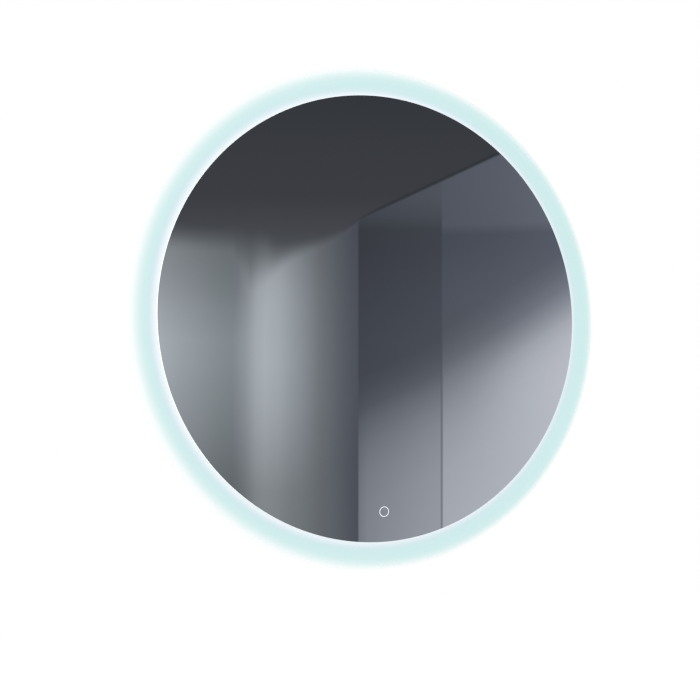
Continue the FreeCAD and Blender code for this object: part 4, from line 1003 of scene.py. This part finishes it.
# the room that the glass shows: tones by azimuth or elevation in degrees, seen out of the glass
roomLook = {
    # dark ceiling, by elevation
    "ceiling": [
        (9.0, (80, 83, 87)), (10.2, (71, 73, 77)), (11.2, (67, 69, 73)), (12.5, (62, 64, 68)),
        (16.0, (60, 62, 66)), (20.0, (54, 57, 62)), (60.0, (50, 52, 57))],
    # curved wall with its band of light, by azimuth, and how it falls off with elevation: left of
    # the band, in it and right of it
    "curved": [
        (-60.0, (128, 132, 138)), (-20.0, (140, 145, 150)), (7.0, (163, 169, 174)),
        (8.6, (150, 156, 161)), (10.0, (140, 146, 151)), (11.3, (130, 137, 141)),
        (12.2, (127, 133, 138)), (13.0, (142, 148, 153)), (13.7, (162, 168, 173)),
        (14.4, (169, 175, 180)), (15.4, (162, 168, 173)), (16.8, (139, 145, 150)),
        (18.2, (112, 116, 121)), (19.6, (92, 96, 103)), (20.5, (83, 86, 94)), (21.0, (80, 83, 91))],
    "leftFall": [
        (-30.0, 0.55), (-7.7, 0.76), (-5.6, 0.83), (-3.6, 0.9), (-1.5, 0.96), (1.0, 1.015),
        (2.7, 1.025), (4.8, 0.967), (6.1, 0.905), (7.5, 0.856), (8.6, 0.825), (9.6, 0.76)],
    "bandFall": [
        (-30.0, 0.6), (-7.7, 0.78), (-5.6, 0.85), (-3.6, 0.91), (-1.5, 0.965), (1.0, 1.0),
        (2.7, 1.0), (4.8, 0.99), (6.1, 0.97), (7.5, 0.92), (9.0, 0.86)],
    "rightFall": [
        (-30.0, 0.9), (-11.0, 0.97), (-6.0, 0.96), (-2.0, 0.99), (2.0, 1.0), (5.0, 0.985),
        (7.5, 0.96), (10.0, 0.92)],
    "bandStart": (12.0, 14.0),
    "bandEnd": (15.5, 20.0),
    # how far the band leans over at its top, by azimuth, and over what elevations
    "lean": [(10.5, 0.0), (12.2, 0.35), (13.6, 0.3), (15.2, 0.24), (16.5, 0.0)],
    "leanRise": (2.5, 8.0),
    # how daylight ends above a slanting edge, by degrees past it
    "slowEnd": [
        (-8.0, 1.0), (-5.0, 0.93), (-3.0, 0.82), (-2.0, 0.73), (-1.0, 0.61), (0.3, 0.40),
        (1.3, 0.19), (2.4, 0.07), (3.4, 0.0)],
    "quickEnd": [
        (-8.0, 1.0), (-4.0, 0.99), (-2.5, 0.95), (-1.5, 0.88), (-0.7, 0.75), (0.3, 0.47),
        (1.3, 0.21), (2.4, 0.07), (3.4, 0.0)],
    # the two panels: in shade by elevation, times a level by azimuth, and in daylight by azimuth
    "narrow": [
        (-3.0, (76, 79, 87)), (0.6, (72, 75, 83)), (2.7, (71, 74, 82)), (6.1, (67, 70, 78)),
        (9.0, (63, 65, 72)), (10.3, (62, 65, 71)), (11.2, (70, 73, 80)), (12.6, (76, 79, 87))],
    "narrowAcross": [(20.8, 0.96), (26.7, 1.07)],
    "narrowLit": [
        (20.9, (117, 121, 128)), (21.5, (129, 133, 140)), (22.5, (134, 138, 146)),
        (24.0, (140, 144, 152)), (25.5, (146, 150, 158)), (26.6, (149, 153, 161))],
    "narrowEdge": ((20.87, -3.6), (26.65, -0.9)),
    "narrowStart": (20.82, 20.95),
    "broad": [
        (0.6, (86, 90, 98)), (2.7, (83, 87, 95)), (6.1, (80, 84, 93)), (9.0, (74, 78, 87)),
        (9.9, (73, 77, 86)), (10.6, (83, 87, 96)), (13.0, (84, 88, 97))],
    "broadAcross": [(26.6, 0.99), (30.5, 1.06), (35.5, 1.2)],
    "broadLit": [
        (26.7, (164, 168, 176)), (29.0, (168, 172, 180)), (32.0, (175, 178, 186)),
        (35.5, (188, 190, 198))],
    "broadEdge": ((26.65, -0.6), (35.41, 4.9)),
    "broadStart": (26.6, 26.76),
    "quickStart": (27.5, 33.0),
    # the seam between them: how dark, its azimuth and reach, where it fades upwards and its colour
    "seam": 0.34,
    "seamMiddle": 26.68,
    "seamReach": 0.12,
    "seamFade": (6.0, -4.0),
    "seamTone": (0.22, 0.23, 0.26, 1.0),
    # the ceiling's edge: its slanting run, how that bows and how softly it ends, by azimuth
    "ceilingEdge": ((20.87, 11.0), (30.48, 15.05)),
    "bow": [(13.0, 0.0), (16.5, 0.08), (18.5, 0.33), (20.0, 0.3), (20.9, 0.05), (22.0, 0.0)],
    "softness": [
        (13.0, 1.0), (14.5, 0.75), (16.0, 0.42), (17.5, 0.28), (19.5, 0.17), (20.6, 0.07),
        (30.0, 0.07)],
    "softest": 1.9,
    # its level run on the left: tenths of its elevation and its softness, by azimuth
    "foot": [
        (8.0, 0.98), (10.5, 0.965), (12.2, 0.96), (12.8, 0.9), (13.4, 0.815), (14.2, 0.835),
        (15.2, 0.85)],
    "footSoftness": [
        (10.0, 0.38), (12.2, 0.42), (12.8, 0.7), (13.4, 0.95), (14.2, 0.87), (15.2, 0.62)],
    "footSoftest": 2.6,
    "slant": (14.3, 15.6),
    # the thin dark line along its slanting run: how dark, where it starts and its colour
    "line": 0.42,
    "lineMiddle": 0.08,
    "lineReach": 0.15,
    "lineStart": (19.5, 23.0),
    "lineTone": (0.17, 0.18, 0.2, 1.0),
}


def direction(azimuth, elevation):
    # unit vector out of the glass: azimuth from straight ahead (-Y) towards +X, elevation from level
    a, e = math.radians(azimuth), math.radians(elevation)
    return Vector((math.sin(a) * math.cos(e), -math.cos(a) * math.cos(e), math.sin(e)))


def greys(pairs):
    return [(at, (r / 255, g / 255, b / 255, 1.0)) for at, (r, g, b) in pairs]


def roomTones(tree, ray, azimuth, elevation):
    # what the glass shows: a dark ceiling over a curved wall with a band of light, a narrow panel
    # and a broad one, each with daylight that falls across it
    look = roomLook

    def past(first, second):
        # degrees above the straight edge through two directions
        normal = direction(*first).cross(direction(*second)).normalized()
        normal = -normal if normal.z < 0 else normal
        dot = addNode(tree, "ShaderNodeVectorMath", {0: ray, 1: normal}, operation="DOT_PRODUCT")
        return calc(tree, "DEGREES", calc(tree, "ARCSINE", dot.outputs["Value"]))

    def tones(name, value):
        return toneRamp(tree, value, greys(look[name]))

    def level(name, value):
        return toneRamp(tree, value, levels(look[name]))

    def near(value, middle, reach):
        # 1 in a thin line round the middle, 0 further off than its reach
        return ease(tree, calc(tree, "ABSOLUTE", calc(tree, "SUBTRACT", value, middle)), reach, 0.03)

    def change(value, name):
        # 0 to 1 between the two values named
        return ease(tree, value, *look[name])

    lean = calc(tree, "MULTIPLY", change(elevation, "leanRise"), level("lean", azimuth))
    curved = tones("curved", calc(tree, "SUBTRACT", azimuth, lean))
    fall = change(azimuth, "bandStart")
    fall = blendColours(tree, fall, level("leftFall", elevation), level("bandFall", elevation))
    fall = blendColours(tree, change(azimuth, "bandEnd"), fall, level("rightFall", elevation))
    curved = product(tree, curved, fall)

    narrow = product(tree, tones("narrow", elevation), level("narrowAcross", azimuth))
    lit = level("slowEnd", past(*look["narrowEdge"]))
    narrow = blendColours(tree, lit, narrow, tones("narrowLit", azimuth))

    broad = product(tree, tones("broad", elevation), level("broadAcross", azimuth))
    edge = past(*look["broadEdge"])
    lit = change(azimuth, "quickStart")
    lit = blendColours(tree, lit, level("slowEnd", edge), level("quickEnd", edge))
    broad = blendColours(tree, lit, broad, tones("broadLit", azimuth))

    walls = blendColours(tree, change(azimuth, "narrowStart"), curved, narrow)
    walls = blendColours(tree, change(azimuth, "broadStart"), walls, broad)
    seam = near(azimuth, look["seamMiddle"], look["seamReach"])
    seam = calc(tree, "MULTIPLY", seam, change(elevation, "seamFade"))
    walls = blendColours(tree, calc(tree, "MULTIPLY", seam, look["seam"]), walls, look["seamTone"])

    slope = calc(tree, "ADD", past(*look["ceilingEdge"]), level("bow", azimuth))
    reach = calc(tree, "MULTIPLY", level("softness", azimuth), look["softest"])
    slanted = ease(tree, calc(tree, "DIVIDE", slope, reach), -1.0, 1.0)
    reach = calc(tree, "MULTIPLY", level("footSoftness", azimuth), look["footSoftest"])
    flat = calc(tree, "SUBTRACT", elevation, calc(tree, "MULTIPLY", level("foot", azimuth), 10.0))
    flat = ease(tree, calc(tree, "DIVIDE", flat, reach), -1.0, 1.0)
    top = blendColours(tree, change(azimuth, "slant"), flat, slanted)
    room = blendColours(tree, top, walls, tones("ceiling", elevation))
    line = near(slope, look["lineMiddle"], look["lineReach"])
    line = calc(tree, "MULTIPLY", line, change(azimuth, "lineStart"))
    return blendColours(tree, calc(tree, "MULTIPLY", line, look["line"]), room, look["lineTone"])


def studioWorld():
    # the camera sees white behind the mirror and pale grey elsewhere, glossy rays see the room, and
    # everything else gets soft even light; ahead is 1 in front of the glass and -1 behind it
    world = bpy.data.worlds.new("studio")
    world.use_nodes = True
    tree = world.node_tree
    tree.nodes.clear()

    def shine(colour, strength):
        return addNode(tree, "ShaderNodeBackground", {"Color": colour, "Strength": strength}).outputs[0]

    def choose(which, first, second):
        return addNode(tree, "ShaderNodeMixShader", {0: which, 1: first, 2: second}).outputs[0]

    ray = addNode(tree, "ShaderNodeTexCoord").outputs["Generated"]
    axes = addNode(tree, "ShaderNodeSeparateXYZ", {0: ray}).outputs
    ahead = calc(tree, "MULTIPLY", axes["Y"], -1.0)
    azimuth = calc(tree, "DEGREES", calc(tree, "ARCTAN2", axes["X"], ahead))
    elevation = calc(tree, "DEGREES", calc(tree, "ARCSINE", axes["Z"]))
    room = roomTones(tree, ray, azimuth, elevation)
    room = blendColours(tree, ease(tree, ahead, *studio["asideFrom"]), room, studio["aside"])
    room = addNode(tree, "ShaderNodeGamma", {"Color": room, "Gamma": 2.2}).outputs[0]
    pale = ease(tree, ahead, *studio["paleFrom"])
    backdrop = blendColours(tree, pale, (1, 1, 1, 1), linear(*studio["pale"]))
    soft = toneRamp(tree, elevation, levels(studio["lightByRise"]))
    front = toneRamp(tree, ahead, levels(studio["lightByDepth"]))
    lamp = shine(product(tree, soft, front), studio["light"])
    path = addNode(tree, "ShaderNodeLightPath").outputs
    seen = choose(path["Is Glossy Ray"], lamp, shine(room, studio["glassTint"]))
    seen = choose(path["Is Camera Ray"], seen, shine(backdrop, 1.0))
    addNode(tree, "ShaderNodeOutputWorld", {"Surface": seen})
    bpy.context.scene.world = world


def studioFloor():
    reach, z = studio["floorReach"], studio["floorZ"]
    mesh = bpy.data.meshes.new("floor")
    square = [(-reach, -reach, z), (reach, -reach, z), (reach, reach, z), (-reach, reach, z)]
    mesh.from_pydata(square, [], [(0, 1, 2, 3)])
    material, tree, shader = newMaterial("paleFloor")
    place = addNode(tree, "ShaderNodeTexCoord").outputs["Object"]
    depth = addNode(tree, "ShaderNodeSeparateXYZ", {0: place}).outputs["Y"]
    white = ease(tree, depth, studio["whiteFrom"], studio["whiteTo"])
    spots = placeGroup(tree, mottle, {"Scale": 3.0, "Grain Scale": 200.0, "Amount": 0.02})
    grey = product(tree, linear(*studio["pale"])[:3], spots["Tone"])
    colour = blendColours(tree, white, grey, linear(*studio["floorWhite"]))
    tree.links.new(colour, shader["Base Color"])
    lift = calc(tree, "MULTIPLY", white, studio["floorLift"])
    lifted = addNode(tree, "ShaderNodeCombineColor", {0: lift, 1: lift, 2: lift}).outputs[0]
    tree.links.new(lifted, shader["Emission Color"])
    shader["Emission Strength"].default_value = 1.0
    shader["Roughness"].default_value = 0.8
    mesh.materials.append(material)
    floor = bpy.data.objects.new("floor", mesh)
    bpy.context.collection.objects.link(floor)
    floor.visible_glossy = False


def softLamp(name, place, size, power):
    # a square lamp aimed at the middle of the glass
    lamp = bpy.data.lights.new(name, "AREA")
    lamp.shape, lamp.size, lamp.energy = "SQUARE", size, power
    holder = bpy.data.objects.new(name, lamp)
    holder.location = place
    aim = Vector((0, 0, centreZ)) - Vector(place)
    holder.rotation_euler = aim.to_track_quat("-Z", "Y").to_euler()
    bpy.context.collection.objects.link(holder)


cameraLook = {
    # from the middle of the glass's face, in glass radii: right, towards the viewer, up
    "right": -1.423,
    "away": 3.404,
    "up": -0.2696,
    "yaw": 20.31,
    "lens": 42.23,
    "sensor": 36.0,
    "shiftUp": 0.0420,
    "shiftRight": -0.0002,
}


def makeCamera():
    # the photograph's point of view, in front of the glass and to its left
    look = cameraLook
    lens = bpy.data.cameras.new("photoCamera")
    lens.sensor_width, lens.sensor_fit = look["sensor"], "HORIZONTAL"
    lens.lens, lens.shift_x, lens.shift_y = look["lens"], look["shiftRight"], look["shiftUp"]
    camera = bpy.data.objects.new("photoCamera", lens)
    camera.location = (look["right"] * glassRadius, glassLow[1] - look["away"] * glassRadius,
                       centreZ + look["up"] * glassRadius)
    camera.rotation_euler = (math.radians(90), 0.0, math.radians(-look["yaw"]))
    bpy.context.collection.objects.link(camera)
    bpy.context.scene.camera = camera


studioWorld()
studioFloor()
softLamp("keyLamp", studio["keyPlace"], studio["keySize"], studio["keyPower"])
softLamp("backLamp", studio["backPlace"], studio["backSize"], studio["backPower"])
makeCamera()
bpy.context.scene.view_settings.view_transform = "Standard"
print("studio made")
